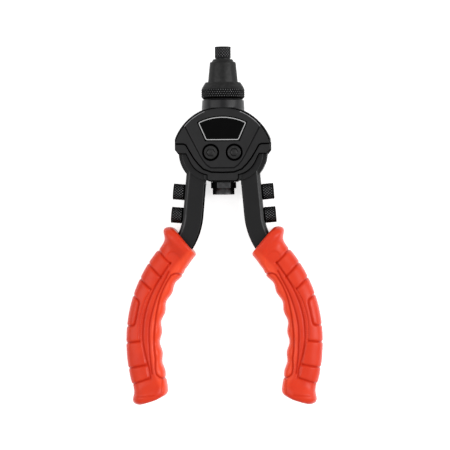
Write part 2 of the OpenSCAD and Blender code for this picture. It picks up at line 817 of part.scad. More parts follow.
// A skin through the sections, with a flat face at each end
module grip_skin() {
    last = len(grip_angles) - 1;
    walls = [for (i = [0 : last - 1]) for (j = [0 : section_n - 1])
        let (a = i * section_n, k = (j + 1) % section_n)
        each [[a + j, a + section_n + k, a + section_n + j], [a + j, a + k, a + section_n + k]]];
    ends = [[for (j = [section_n - 1 : -1 : 0]) j], [for (j = [0 : section_n - 1]) last * section_n + j]];
    polyhedron(points = [for (b = grip_angles) each grip_ring(b)], faces = concat(walls, ends));
}

module grip_body() {
    difference() {
        grip_skin();
        arm_core(grip_gap);
    }
}

module right_grip() {
    color("#e9452e") place() grip_body();
}

module left_grip() {
    color("#e9452e") place() mirror([1, 0, 0]) grip_body();
}

module spare_nosepiece_2_4() {
    color("#3a3a3c") place() mirror([1, 0, 0]) on_edge(spare_y1) nosepiece_body(1.05);
}

module spare_nosepiece_3_2() {
    color("#3a3a3c") place() mirror([1, 0, 0]) on_edge(spare_y2) nosepiece_body(1.2);
}

module spare_nosepiece_4_0() {
    color("#3a3a3c") place() on_edge(spare_y1) nosepiece_body(1.4);
}

module spare_nosepiece_6_4() {
    color("#3a3a3c") place() on_edge(spare_y2) nosepiece_body(1.95);
}

frame_head();
front_cover();
rear_cover();
label_plate();
pivot_bolts();
pivot_nuts();
thrust_washers();
knurled_ring();
nose_sleeve();
nosepiece();
rear_plug();
plug_washer();
pull_rod();
pull_yoke();
yoke_nut();
drive_pins();
jaw_case();
jaw_spring();
jaw_pusher();
jaw_1();
jaw_2();
jaw_3();
left_arm();
right_arm();
left_bushes();
right_bushes();
left_grip();
right_grip();
spare_nosepiece_2_4();
spare_nosepiece_3_2();
spare_nosepiece_4_0();
spare_nosepiece_6_4();
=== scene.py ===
# Lever hand riveter on its back, nose towards +Y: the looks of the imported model, in metres.
import math

import bmesh
import bpy
import numpy as np
from mathutils import Matrix, Vector


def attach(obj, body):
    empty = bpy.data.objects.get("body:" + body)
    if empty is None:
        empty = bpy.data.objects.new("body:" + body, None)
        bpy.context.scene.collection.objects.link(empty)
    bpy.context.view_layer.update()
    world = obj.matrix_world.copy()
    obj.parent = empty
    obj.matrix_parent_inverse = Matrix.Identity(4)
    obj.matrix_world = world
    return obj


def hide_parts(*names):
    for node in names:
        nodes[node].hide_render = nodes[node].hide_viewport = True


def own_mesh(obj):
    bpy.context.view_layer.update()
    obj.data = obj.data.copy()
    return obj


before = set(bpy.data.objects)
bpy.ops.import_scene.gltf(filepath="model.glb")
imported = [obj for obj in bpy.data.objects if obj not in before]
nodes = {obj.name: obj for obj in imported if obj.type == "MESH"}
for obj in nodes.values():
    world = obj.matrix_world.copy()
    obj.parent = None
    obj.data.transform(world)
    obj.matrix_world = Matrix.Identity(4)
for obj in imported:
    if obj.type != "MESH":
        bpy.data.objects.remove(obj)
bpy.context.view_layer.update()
mm = 0.001
pivotY = 55.8874  # the line through both handle pivots, in mm
middleZ = 17.0    # the plane halfway through the tool, in mm
toFrame = Matrix.Translation((0, pivotY * mm, middleZ * mm))
print("frame loaded:", len(nodes), "nodes")


# Small helpers

def linear(code):
    # sRGB hex to the linear colour that the nodes work in
    parts = [int(code[i:i + 2], 16) / 255 for i in (0, 2, 4)]
    return tuple(p / 12.92 if p <= 0.04045 else ((p + 0.055) / 1.055) ** 2.4 for p in parts) + (1.0,)


def addNode(tree, kind, inputs=None, stops=None, **settings):
    node = tree.nodes.new(kind)
    for name, value in settings.items():
        setattr(node, name, value)
    for key, value in (inputs or {}).items():
        if isinstance(value, bpy.types.Node):  # a node stands for its first output
            value = value.outputs[0]
        if isinstance(value, bpy.types.NodeSocket):
            tree.links.new(value, node.inputs[key])
        else:
            node.inputs[key].default_value = value
    if stops:
        while len(node.color_ramp.elements) < len(stops):
            node.color_ramp.elements.new(0.5)
        for element, (at, code) in zip(node.color_ramp.elements, stops):
            element.position, element.color = at, linear(code)
    return node


def startMaterial(name):
    material = bpy.data.materials.new(name)
    material.use_nodes = True
    material.node_tree.nodes.clear()
    return material, material.node_tree, addNode(material.node_tree, "ShaderNodeTexCoord").outputs["Object"]


def finishMaterial(material, inputs):
    shader = addNode(material.node_tree, "ShaderNodeBsdfPrincipled", inputs)
    addNode(material.node_tree, "ShaderNodeOutputMaterial", {"Surface": shader})
    return material


def newObject(name, mesh):
    mesh.name = name
    obj = bpy.data.objects.new(name, mesh)
    bpy.context.scene.collection.objects.link(obj)
    return obj


def bakeModifiers(obj):
    # the evaluated shape becomes a plain mesh, and the modifiers go
    graph = bpy.context.evaluated_depsgraph_get()
    mesh = bpy.data.meshes.new_from_object(obj.evaluated_get(graph), preserve_all_data_layers=True,
                                           depsgraph=graph)
    obj.modifiers.clear()
    obj.data = mesh
    mesh.name = obj.name
    return obj


def shadeByAngle(mesh, angle):
    mesh.shade_smooth()
    mesh.set_sharp_from_angle(angle=math.radians(angle))


def faceOutwards(mesh, merge=0.0):
    bm = bmesh.new()
    bm.from_mesh(mesh)
    if merge:
        bmesh.ops.remove_doubles(bm, verts=bm.verts, dist=merge)
    bmesh.ops.recalc_face_normals(bm, faces=bm.faces)
    bm.to_mesh(mesh)
    bm.free()


def meshFrom(name, points, faces, angle=40):
    mesh = bpy.data.meshes.new(name)
    mesh.from_pydata([tuple(p) for p in points], [], faces)
    faceOutwards(mesh, merge=1e-7)
    shadeByAngle(mesh, angle)
    return mesh


def mirrored(mesh, name):
    other = mesh.copy()
    other.name = name
    other.transform(Matrix.Diagonal((-1, 1, 1, 1)))
    other.flip_normals()
    return other


def placePiece(obj, body, slotName, *replaced):
    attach(obj, body)
    if replaced:
        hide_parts(*replaced)
    return obj


# between an arm's flat top and its wide bevel: how level each face's normal is, and the part that gets a
# painted highlight
crest = dict(flat=0.995, bevel=(0.72, 0.95), paintedBright=(0.90, 0.985), segments=6)


def softCopy(node, name, material, edge=0.25, segments=3, angle=30, ridge=0.0, merge=0.002, reshape=None):
    # a copy of a CAD solid with its doubles merged, its flat faces joined and its outer edges rounded.
    # A ridge is the shallow edge between a flat top and a wide bevel, and gets a larger radius
    mesh = nodes[node].data.copy()
    for layer in ("custom_normal", "sharp_edge", "sharp_face"):
        if mesh.attributes.get(layer):
            mesh.attributes.remove(mesh.attributes[layer])
    bm = bmesh.new()
    bm.from_mesh(mesh)
    bmesh.ops.remove_doubles(bm, verts=bm.verts, dist=merge * mm)
    if reshape:
        reshape(bm)
    bmesh.ops.dissolve_limit(bm, angle_limit=math.radians(0.5), verts=bm.verts, edges=bm.edges)
    for f in bm.faces:
        f.material_index = 0
    if ridge:
        shallow = []
        for e in bm.edges:
            if len(e.link_faces) == 2:
                low, high = sorted(abs(f.normal.z) for f in e.link_faces)
                if high > crest["flat"] and crest["bevel"][0] < low < crest["bevel"][1]:
                    shallow.append(e)
        rounded = bmesh.ops.bevel(bm, geom=shallow, offset=ridge * mm, offset_type="OFFSET",
                                  segments=crest["segments"], profile=0.5, affect="EDGES",
                                  clamp_overlap=False)["faces"]
        for f in rounded:  # the crest's middle, on the side away from the other handle, gets a painted highlight
            f.normal_update()
            level = abs(f.normal.z)
            if crest["paintedBright"][0] < level < crest["paintedBright"][1] and f.normal.x * f.calc_center_median().x > 0:
                f.material_index = 1
    weight = bm.edges.layers.float.new("bevel_weight_edge")
    for e in bm.edges:
        e[weight] = float(len(e.link_faces) == 2 and e.calc_face_angle_signed() > math.radians(angle))
    bm.to_mesh(mesh)
    bm.free()
    mesh.shade_smooth()
    slots = [f.material_index for f in mesh.polygons]
    mesh.materials.clear()
    mesh.materials.append(material)
    mesh.polygons.foreach_set("material_index", slots)
    obj = newObject(name, mesh)
    soft = obj.modifiers.new("softEdges", "BEVEL")
    soft.width, soft.segments, soft.limit_method = edge * mm, segments, "WEIGHT"
    soft.use_clamp_overlap = False
    obj.modifiers.new("faceNormals", "WEIGHTED_NORMAL")
    return bakeModifiers(obj)


def softCorner(start, peak, end, steps):
    # points on the curve that leaves start and reaches end in the directions of the corner's two sides
    shares = [k / steps for k in range(steps + 1)]
    return [tuple(start * (1 - t) ** 2 + peak * 2 * t * (1 - t) + end * t ** 2) for t in shares]


def fillet(points, radii, steps=5):
    # rounds the corners of a closed outline; radii is one number or one for each corner
    done, n = [], len(points)
    for i in range(n):
        radius = radii if isinstance(radii, (int, float)) else radii[i]
        before, here, after = (Vector(points[j % n]) for j in (i - 1, i, i + 1))
        a, b = before - here, after - here
        reach = min(radius, a.length * 0.48, b.length * 0.48)  # never past the middle of a side
        if radius <= 0 or reach < 1e-6:
            done.append(tuple(here))
        else:
            done += softCorner(here + a.normalized() * reach, here, here + b.normalized() * reach, steps)
    return done


def lathe(name, profile, count, angle=40):
    # turns a closed outline of (radius, height) in mm about +Z
    turn = [2 * math.pi * i / count for i in range(count)]
    points = [(r * math.cos(a) * mm, r * math.sin(a) * mm, z * mm) for a in turn for r, z in profile]
    n = len(profile)
    faces = [(i * n + j, i * n + (j + 1) % n, (i + 1) % count * n + (j + 1) % n, (i + 1) % count * n + j)
             for i in range(count) for j in range(n)]
    return meshFrom(name, points, faces, angle)


def useTree(obj, tree, values):
    modifier = obj.modifiers.new(tree.name, "NODES")
    modifier.node_group = tree
    for item in tree.interface.items_tree:
        if item.in_out == "INPUT" and item.name in values:
            modifier[item.identifier] = values[item.name]
    return bakeModifiers(obj)


# Materials, each named for the real finish

def powderCoatBlack():
    # black powder coat on die-cast aluminium, sprayed and baked: a soft sheen with faint orange peel
    material, tree, place = startMaterial("powderCoatBlack")
    peel = addNode(tree, "ShaderNodeTexNoise", {"Vector": place, "Scale": 1 / (0.7 * mm), "Detail": 2.0})
    patch = addNode(tree, "ShaderNodeTexNoise", {"Vector": place, "Scale": 1 / (11 * mm), "Detail": 4.0})
    tone = addNode(tree, "ShaderNodeValToRGB", {"Fac": patch}, stops=[(0.35, "08080a"), (0.7, "0e0e10")])
    matt = addNode(tree, "ShaderNodeMapRange", {"Value": patch, "To Min": 0.26, "To Max": 0.36})
    bump = addNode(tree, "ShaderNodeBump", {"Height": peel, "Strength": 0.30, "Distance": 0.03 * mm})
    return finishMaterial(material, {"Base Color": tone, "Roughness": matt,
                                     "Normal": bump, "Specular IOR Level": 0.24})


def mouldedNylonBlack():
    # glass-filled nylon moulded in a spark-eroded tool: a fine even grain and a satin face.
    # The real grain is 0.15 mm, drawn at 0.3 mm so that it shows
    material, tree, place = startMaterial("mouldedNylonBlack")
    grain = addNode(tree, "ShaderNodeTexVoronoi", {"Vector": place, "Scale": 1 / (0.3 * mm)},
                    feature="SMOOTH_F1")
    cloud = addNode(tree, "ShaderNodeTexNoise", {"Vector": place, "Scale": 1 / (6 * mm), "Detail": 5.0})
    tone = addNode(tree, "ShaderNodeValToRGB", {"Fac": cloud}, stops=[(0.3, "0c0c0d"), (0.75, "131314")])
    satin = addNode(tree, "ShaderNodeMapRange", {"Value": cloud, "To Min": 0.32, "To Max": 0.44})
    bump = addNode(tree, "ShaderNodeBump", {"Height": grain, "Strength": 0.22, "Distance": 0.02 * mm})
    return finishMaterial(material, {"Base Color": tone, "Roughness": satin,
                                     "Normal": bump, "Specular IOR Level": 0.24})


def cloudedFinish(name, size, detail, dark, light, shader):
    # one colour in soft patches of a size in mm, from dark to light, each (share, colour)
    material, tree, place = startMaterial(name)
    cloud = addNode(tree, "ShaderNodeTexNoise", {"Vector": place, "Scale": 1 / (size * mm), "Detail": detail})
    tone = addNode(tree, "ShaderNodeValToRGB", {"Fac": cloud}, stops=(dark, light))
    return finishMaterial(material, {"Base Color": tone, **shader})


def glossLabelFilm():
    # printed polyester film with a clear domed top: near-black and smooth, with faint wipe marks
    material, tree, place = startMaterial("glossLabelFilm")
    wipe = addNode(tree, "ShaderNodeMapping", {"Vector": place, "Scale": (1 / (9 * mm), 1 / (0.8 * mm), 1)})
    marks = addNode(tree, "ShaderNodeTexNoise", {"Vector": wipe, "Scale": 1.0, "Detail": 3.0})
    matt = addNode(tree, "ShaderNodeMapRange", {"Value": marks, "To Min": 0.16, "To Max": 0.30})
    tone = addNode(tree, "ShaderNodeValToRGB", {"Fac": marks}, stops=[(0.3, "020202"), (0.8, "040404")])
    return finishMaterial(material, {"Base Color": tone, "Roughness": matt,
                                     "Specular IOR Level": 0.04})


def oxideSteel(name, axis, dark, light, low, high, edge="8c8c8c", wear=(0.78, 0.7), valleyShade=(0.35, 0.9)):
    # steel turned on a lathe and blackened: rings of tool marks round the axis, worn a little on raised
    # points from wear[0] up to the share wear[1], and painted shade in the knurl's valleys, darker between
    # the depths in valleyShade.
    # The real feed marks are 0.1 mm apart, drawn at 0.35 mm so that they show
    material, tree, place = startMaterial(name)
    rings = addNode(tree, "ShaderNodeTexWave", {"Vector": place, "Scale": 0.314 / (0.35 * mm) / 2,
                                                "Distortion": 0.4, "Detail": 1.0},
                    wave_type="BANDS", bands_direction=axis, wave_profile="SIN")
    patch = addNode(tree, "ShaderNodeTexNoise", {"Vector": place, "Scale": 1 / (2.5 * mm), "Detail": 4.0})
    tone = addNode(tree, "ShaderNodeValToRGB", {"Fac": patch}, stops=[(0.3, dark), (0.75, light)])
    tip = addNode(tree, "ShaderNodeAttribute", attribute_name="tip")
    worn = addNode(tree, "ShaderNodeMapRange", {"Value": tip.outputs["Fac"], "From Min": wear[0],
                                                "From Max": 1.0, "To Max": wear[1]})
    valley = addNode(tree, "ShaderNodeAttribute", attribute_name="valley")
    valleyShadeShare = addNode(tree, "ShaderNodeMapRange", {"Value": valley.outputs["Fac"], "From Min": valleyShade[0],
                                                "From Max": valleyShade[1]})
    # painted shade: the knurl's valleys are drawn near-black
    valleyShadedTone = addNode(tree, "ShaderNodeMix", {0: valleyShadeShare, 6: tone, 7: linear("070708")},
                    data_type="RGBA")
    colour = addNode(tree, "ShaderNodeMix", {0: worn, 6: valleyShadedTone.outputs[2], 7: linear("9a9a9c")},
                     data_type="RGBA")
    matt = addNode(tree, "ShaderNodeMapRange", {"Value": patch, "To Min": low, "To Max": high})
    bump = addNode(tree, "ShaderNodeBump", {"Height": rings.outputs["Fac"], "Strength": 0.08,
                                            "Distance": 0.01 * mm})
    return finishMaterial(material, {"Base Color": colour.outputs[2], "Metallic": 1.0,
                                     "Roughness": matt, "Normal": bump,
                                     "Specular Tint": linear(edge)})


def paintedSteelBlack():
    # drop-forged handle steel with black electro-coat: slightly uneven, with a satin edge shine
    material, tree, place = startMaterial("paintedSteelBlack")
    forge = addNode(tree, "ShaderNodeTexNoise", {"Vector": place, "Scale": 1 / (1.6 * mm), "Detail": 4.0})
    patch = addNode(tree, "ShaderNodeTexNoise", {"Vector": place, "Scale": 1 / (14 * mm), "Detail": 3.0})
    tone = addNode(tree, "ShaderNodeValToRGB", {"Fac": patch}, stops=[(0.3, "070708"), (0.75, "0c0c0d")])
    matt = addNode(tree, "ShaderNodeMapRange", {"Value": forge, "To Min": 0.30, "To Max": 0.42})
    bump = addNode(tree, "ShaderNodeBump", {"Height": forge, "Strength": 0.22, "Distance": 0.05 * mm})
    return finishMaterial(material, {"Base Color": tone, "Roughness": matt,
                                     "Normal": bump, "Specular IOR Level": 0.2})


def groundSteel():
    # hardened steel, centreless ground and oiled: mid grey with fine scratches 0.1 mm apart, drawn at 0.25 mm
    material, tree, place = startMaterial("groundSteel")
    lines = addNode(tree, "ShaderNodeMapping", {"Vector": place,
                                                "Scale": (1 / (4 * mm), 1 / (0.25 * mm), 1 / (4 * mm))})
    scratch = addNode(tree, "ShaderNodeTexNoise", {"Vector": lines, "Scale": 1.0, "Detail": 3.0})
    tone = addNode(tree, "ShaderNodeValToRGB", {"Fac": scratch}, stops=[(0.3, "767678"), (0.75, "9c9c9c")])
    matt = addNode(tree, "ShaderNodeMapRange", {"Value": scratch, "To Min": 0.22, "To Max": 0.36})
    bump = addNode(tree, "ShaderNodeBump", {"Height": scratch, "Strength": 0.1,
                                            "Distance": 0.01 * mm})
    return finishMaterial(material, {"Base Color": tone, "Metallic": 1.0,
                                     "Roughness": matt, "Normal": bump})


def sinteredBronze():
    # oil-filled sintered bronze: warm, dull, with open pores of about 0.2 mm
    material, tree, place = startMaterial("sinteredBronze")
    pores = addNode(tree, "ShaderNodeTexVoronoi", {"Vector": place, "Scale": 1 / (0.2 * mm)})
    tone = addNode(tree, "ShaderNodeValToRGB", {"Fac": pores}, stops=[(0.1, "5e4122"), (0.4, "a87c48")])
    bump = addNode(tree, "ShaderNodeBump", {"Height": pores, "Strength": 0.3, "Distance": 0.02 * mm})
    return finishMaterial(material, {"Base Color": tone, "Metallic": 1.0, "Roughness": 0.42,
                                     "Normal": bump})


def softVinylRed():
    # plasticised vinyl moulded over the handle: warm red and slightly waxy, with painted shade in the grooves
    # and a painted light that makes the inner side paler.
    # The mould's blasted texture is 0.25 mm, drawn at 0.45 mm so that it shows
    material, tree, place = startMaterial("softVinylRed")
    blast = addNode(tree, "ShaderNodeTexNoise", {"Vector": place, "Scale": 1 / (0.45 * mm), "Detail": 2.0})
    cloud = addNode(tree, "ShaderNodeTexNoise", {"Vector": place, "Scale": 1 / (13 * mm), "Detail": 4.0})
    tone = addNode(tree, "ShaderNodeValToRGB", {"Fac": cloud}, stops=[(0.3, "d33115"), (0.75, "dc3a1a")])
    paintedLightShare = addNode(tree, "ShaderNodeAttribute", attribute_name="paintedLightShare")
    paintedBright = addNode(tree, "ShaderNodeMix", {0: paintedLightShare.outputs["Fac"], 6: tone, 7: linear("ee4a28")},
                     data_type="RGBA")
    # painted shade in the grooves: a darker red, and the specular tint takes their reflection away
    grooveShadeShare = addNode(tree, "ShaderNodeAttribute", attribute_name="hollow")
    colour = addNode(tree, "ShaderNodeMix", {0: grooveShadeShare.outputs["Fac"], 6: paintedBright.outputs[2],
                                             7: linear("bc2613")}, data_type="RGBA")
    shine = addNode(tree, "ShaderNodeMix", {0: grooveShadeShare.outputs["Fac"], 6: (1, 1, 1, 1), 7: linear("3a100a")},
                    data_type="RGBA")
    matt = addNode(tree, "ShaderNodeMapRange", {"Value": cloud, "To Min": 0.28, "To Max": 0.38})
    bump = addNode(tree, "ShaderNodeBump", {"Height": blast, "Strength": 0.18,
                                            "Distance": 0.04 * mm})
    return finishMaterial(material, {"Base Color": colour.outputs[2], "Roughness": matt,
                                     "Normal": bump, "Specular IOR Level": 0.22,
                                     "Specular Tint": shine.outputs[2], "Subsurface Weight": 0.05,
                                     "Subsurface Radius": (1.0, 0.25, 0.12), "Subsurface Scale": 0.8 * mm})


castFinish = powderCoatBlack()
coverFinish = mouldedNylonBlack()
# painted shade: near-black nylon, matt and without reflection, for the floors of grooves and recesses and
# other places where shade falls
paintedShadeFinish = cloudedFinish("paintedShadeNylon", 1.2, 4.0, (0.4, "040404"), (0.8, "0a0a0a"),
                             {"Roughness": 0.9, "Specular IOR Level": 0.0})
# a painted highlight on the cover's rim: grey, smooth, in short streaks
rimHighlightFinish = cloudedFinish("paintedRimHighlight", 1.5, 3.0, (0.35, "666668"), (0.65, "8e8e90"),
                             {"Roughness": 0.3})
# painted shade on the slope round the cover's raised centre: darker, matt nylon with little reflection
slopeShadeFinish = cloudedFinish("paintedShadeSlope", 0.4, 2.0, (0.3, "0a0a0b"), (0.7, "0f0f10"),
                            {"Roughness": 0.5, "Specular IOR Level": 0.05})
# a painted highlight on the arm's outer ridge: lighter grey paint
ridgeHighlightFinish = cloudedFinish("paintedRidgeHighlight", 4.0, 4.0, (0.35, "303031"), (0.65, "444446"),
                            {"Roughness": 0.4, "Specular IOR Level": 0.18})
labelFinish = glossLabelFilm()
# silver ink under the film's edge: a light grey metal with a fine speckle, flake 0.2 mm
borderFinish = cloudedFinish("silverPrint", 0.2, 2.0, (0.3, "8c8c8c"), (0.7, "b4b4b4"),
                             {"Metallic": 0.6, "Roughness": 0.38})
ringFinish = oxideSteel("blackOxideRing", "Y", "272727", "333333", 0.26, 0.38, "c8c8c8", (0.72, 0.9))
sleeveFinish = oxideSteel("blackOxideSleeve", "Y", "282828", "303030", 0.26, 0.36, "d0d0d0")
noseFinish = oxideSteel("blackOxideNose", "Y", "2e2e2e", "3a3a3a", 0.30, 0.44, "b0b0b0", (0.55, 0.9),
                        (0.4, 0.75))
spareFinish = oxideSteel("blackOxideSpare", "X", "202020", "282828", 0.30, 0.44, "b0b0b0", (0.55, 1.0),
                         (0.35, 0.65))
plugFinish = oxideSteel("blackOxidePlug", "Y", "323233", "404041", 0.28, 0.40)
screwFinish = oxideSteel("blackOxideScrew", "Z", "262626", "343434", 0.32, 0.46)
armFinish = paintedSteelBlack()
steelFinish = groundSteel()
bronzeFinish = sinteredBronze()
# black nitrile rubber, punched from sheet: matt, with a bloom in patches of a few millimetres
rubberFinish = cloudedFinish("nitrileRubber", 2.0, 5.0, (0.3, "060606"), (0.8, "121212"),
                             {"Roughness": 0.72, "Specular IOR Level": 0.3})
gripFinish = softVinylRed()
print("materials made")


def openSockets(tree, inputs):
    # a tree's named inputs, each (name, kind, value), between the geometry and its finish
    sockets = tree.interface
    for direction in ("INPUT", "OUTPUT"):
        sockets.new_socket("Geometry", in_out=direction, socket_type="NodeSocketGeometry")
    for name, kind, value in inputs:
        sockets.new_socket(name, in_out="INPUT", socket_type="NodeSocket" + kind).default_value = value
    sockets.new_socket("Finish", in_out="INPUT", socket_type="NodeSocketMaterial")
    return addNode(tree, "NodeGroupInput").outputs


# Geometry Nodes: a diamond knurl cut into a turned blank whose axis is +Z

def knurlTree():
    tree = bpy.data.node_groups.new("diamondKnurl", "GeometryNodeTree")
    given = openSockets(tree, (("Teeth", "Int", 48), ("Row height", "Float", 2 * mm),
                               ("Depth", "Float", 0.3 * mm), ("Band start", "Float", 0.0),
                               ("Band end", "Float", 5 * mm), ("Fade", "Float", 0.3 * mm)))
    place = addNode(tree, "GeometryNodeInputPosition")
    part = addNode(tree, "ShaderNodeSeparateXYZ", {0: place}).outputs
    flat = addNode(tree, "ShaderNodeCombineXYZ", {0: part[0], 1: part[1]})
    radius = addNode(tree, "ShaderNodeVectorMath", {0: flat}, operation="LENGTH").outputs["Value"]
    largest = addNode(tree, "GeometryNodeAttributeStatistic",
                      {"Geometry": given["Geometry"], "Attribute": radius}, data_type="FLOAT").outputs["Max"]
    known = {"x": part[0], "y": part[1], "z": part[2], "teeth": given["Teeth"],
             "rowHeight": given["Row height"], "deepest": given["Depth"], "start": given["Band start"],
             "end": given["Band end"], "fade": given["Fade"], "largest": largest}
    for name, operation, *values in (
            ("turn", "ARCTAN2", "y", "x"), ("share", "DIVIDE", "turn", 2 * math.pi),
            ("tooth", "MULTIPLY", "share", "teeth"), ("row", "DIVIDE", "z", "rowHeight"),
            ("rising", "ADD", "tooth", "row"), ("falling", "SUBTRACT", "tooth", "row"),
            ("waveA", "PINGPONG", "rising", 0.5), ("waveB", "PINGPONG", "falling", 0.5),
            ("least", "MINIMUM", "waveA", "waveB"), ("peak", "MULTIPLY", "least", 2.0),
            ("above", "SUBTRACT", "z", "start"), ("fadeIn", "DIVIDE", "above", "fade"),
            ("below", "SUBTRACT", "end", "z"), ("fadeOut", "DIVIDE", "below", "fade"),
            ("mask", "MULTIPLY", "fadeIn", "fadeOut"), ("cut", "SUBTRACT", "peak", 1.0),
            ("masked", "MULTIPLY", "cut", "mask"), ("depth", "MULTIPLY", "masked", "deepest"),
            ("tip", "MULTIPLY", "peak", "mask"), ("valley", "SUBTRACT", "mask", "tip"),
            ("limit", "MULTIPLY", "largest", 0.93)):
        values = {i: known[v] if isinstance(v, str) else v for i, v in enumerate(values)}
        known[name] = addNode(tree, "ShaderNodeMath", values, operation=operation,
                              use_clamp=name in ("fadeIn", "fadeOut"))
    outward = addNode(tree, "ShaderNodeVectorMath", {0: flat}, operation="NORMALIZE")
    shift = addNode(tree, "ShaderNodeVectorMath", {0: outward, "Scale": known["depth"]}, operation="SCALE")
    # only the outer skin is cut: the bore lies far inside the band's radius
    outer = addNode(tree, "FunctionNodeCompare", {0: radius, 1: known["limit"]}, operation="GREATER_THAN")
    kept = addNode(tree, "GeometryNodeSetPosition", {"Geometry": given["Geometry"], "Selection": outer,
                                                     "Offset": shift})
    for name in ("tip", "valley"):
        kept = addNode(tree, "GeometryNodeStoreNamedAttribute",
                       {"Geometry": kept, "Selection": outer, "Name": name, "Value": known[name]})
    real = addNode(tree, "GeometryNodeRealizeInstances", {"Geometry": kept})
    done = addNode(tree, "GeometryNodeSetMaterial", {"Geometry": real, "Material": given["Finish"]})
    addNode(tree, "NodeGroupOutput", {0: done})
    return tree


knurl = knurlTree()

# Geometry Nodes: a row of small ribs along an arc, on both faces of a grip

def tickTree():
    tree = bpy.data.node_groups.new("gripTicks", "GeometryNodeTree")
    given = openSockets(tree, (("Count", "Int", 20), ("Centre", "Vector", (0, 0, 0)),
                               ("Radius", "Float", 0.0), ("First angle", "Float", 0.0),
                               ("Last angle", "Float", 0.0), ("Height", "Float", 0.0),
                               ("Rib size", "Vector", (1, 1, 1))))
    index = addNode(tree, "GeometryNodeInputIndex")
    last = addNode(tree, "ShaderNodeMath", {0: given["Count"], 1: 1.0}, operation="SUBTRACT")
    angle = addNode(tree, "ShaderNodeMapRange",
                    {"Value": index, "From Max": last, "To Min": given["First angle"],
                     "To Max": given["Last angle"]}, clamp=False)
    spot = []
    for turn in ("COSINE", "SINE"):
        share = addNode(tree, "ShaderNodeMath", {0: angle}, operation=turn)
        spot.append(addNode(tree, "ShaderNodeMath", {0: share, 1: given["Radius"]}, operation="MULTIPLY"))
    facing = addNode(tree, "ShaderNodeCombineXYZ", {2: angle})
    rib = addNode(tree, "GeometryNodeMeshUVSphere", {"Segments": 12, "Rings": 8, "Radius": 0.5})
    rows = []
    for side in (1.0, -1.0):
        z = addNode(tree, "ShaderNodeMath", {0: given["Height"], 1: side}, operation="MULTIPLY")
        flat = addNode(tree, "ShaderNodeCombineXYZ", {0: spot[0], 1: spot[1], 2: z})
        at = addNode(tree, "ShaderNodeVectorMath", {0: flat, 1: given["Centre"]}, operation="ADD")
        points = addNode(tree, "GeometryNodePoints", {"Count": given["Count"], "Position": at})
        rows.append(addNode(tree, "GeometryNodeInstanceOnPoints", {
            "Points": points, "Instance": rib, "Rotation": facing, "Scale": given["Rib size"]}).outputs[0])
    both = addNode(tree, "GeometryNodeJoinGeometry")
    for row in rows:
        tree.links.new(row, both.inputs[0])
    real = addNode(tree, "GeometryNodeRealizeInstances", {"Geometry": both})
    smooth = addNode(tree, "GeometryNodeSetShadeSmooth", {"Geometry": real})
    done = addNode(tree, "GeometryNodeSetMaterial", {"Geometry": smooth, "Material": given["Finish"]})
    addNode(tree, "NodeGroupOutput", {0: done})
    return tree


ticks = tickTree()
print("node trees made")


# Head: the casting, its covers, bolts and nuts keep the CAD's shape with rounded edges

# radius of each piece's outer edges, in mm
edgeRadii = dict(casting=0.3, cover=0.28, bolt=0.42, nut=0.25, plug=0.3, washer=0.15, arm=0.4, armRidge=1.0)

placePiece(softCopy("frame_head", "headCasting", castFinish, edgeRadii["casting"]), "frame", "cast_black",
           "frame_head")
# the cover's rim, where a painted highlight runs, in mm from the pivots' line and the middle plane; first and
# last are degrees from the nose, widest is the area in mm2 of the largest face that counts as its edge, and
# the floors at these heights get painted shade
rim = dict(centreY=-3.5, inner=37.0, outer=37.6, low=16.3, widest=0.9, first=22, last=88,
           floors=(14.4, 14.5, 16.5))
# the slope round the raised centre: heights over the middle plane in mm, tilt as the normal's share of Z
stair = dict(step=16.6, foot=16.2, top=17.0, tread=0.55, near=0.02, nearStep=0.06, tilt=(0.78, 0.88),
             area=2.0)
# the dark strip of painted shade round each cover: how far it shows outside the cover and how thick it is;
# mitre keeps its corners short
shadeLine = dict(level=13.7, reach=0.8, height=0.35, limitX=36.5, mitre=0.6)


def slopeStair(bm):
    # the solid's low step round the raised centre is drawn out into one slope
    s = stair
    heights = {v: abs(v.co.z / mm - middleZ) for v in bm.verts}
    moves = {}
    for v in (v for v, height in heights.items() if abs(height - s["step"]) < s["nearStep"]):
        for other in (e.other_vert(v) for e in v.link_edges):
            if math.hypot(other.co.x - v.co.x, other.co.y - v.co.y) > s["tread"] * mm:
                continue
            if abs(heights[other] - s["top"]) < s["near"]:
                moves[v] = other.co.z
            elif abs(heights[other] - s["foot"]) < s["near"]:
                moves.setdefault(v, other.co.z)
    for v, z in moves.items():
        v.co.z = z
    bmesh.ops.remove_doubles(bm, verts=bm.verts, dist=0.002 * mm)


def coverPiece(node, name):
    # painted shade on the floors and on the raised centre's slope, and a painted highlight on the rim's edge
    # at both shoulders
    obj = softCopy(node, name, coverFinish, edgeRadii["cover"], angle=24, merge=0.15, reshape=slopeStair)
    for finish in (paintedShadeFinish, rimHighlightFinish, slopeShadeFinish):
        obj.data.materials.append(finish)
    for face in obj.data.polygons:
        x, y, z = face.center / mm
        height, area, level = abs(z - middleZ), face.area / mm ** 2, abs(face.normal.z)
        y -= pivotY + rim["centreY"]
        onRim = rim["inner"] < math.hypot(x, y) < rim["outer"] and height > rim["low"]
        if level > 0.95 and any(abs(height - floor) < 0.03 for floor in rim["floors"]):
            face.material_index = 1
        elif stair["tilt"][0] < level < stair["tilt"][1] and area > stair["area"] and height > stair["foot"]:
            face.material_index = 3
        elif (onRim and area < rim["widest"]
              and rim["first"] < math.degrees(math.atan2(abs(x), y)) < rim["last"]):
            face.material_index = 2
    return obj


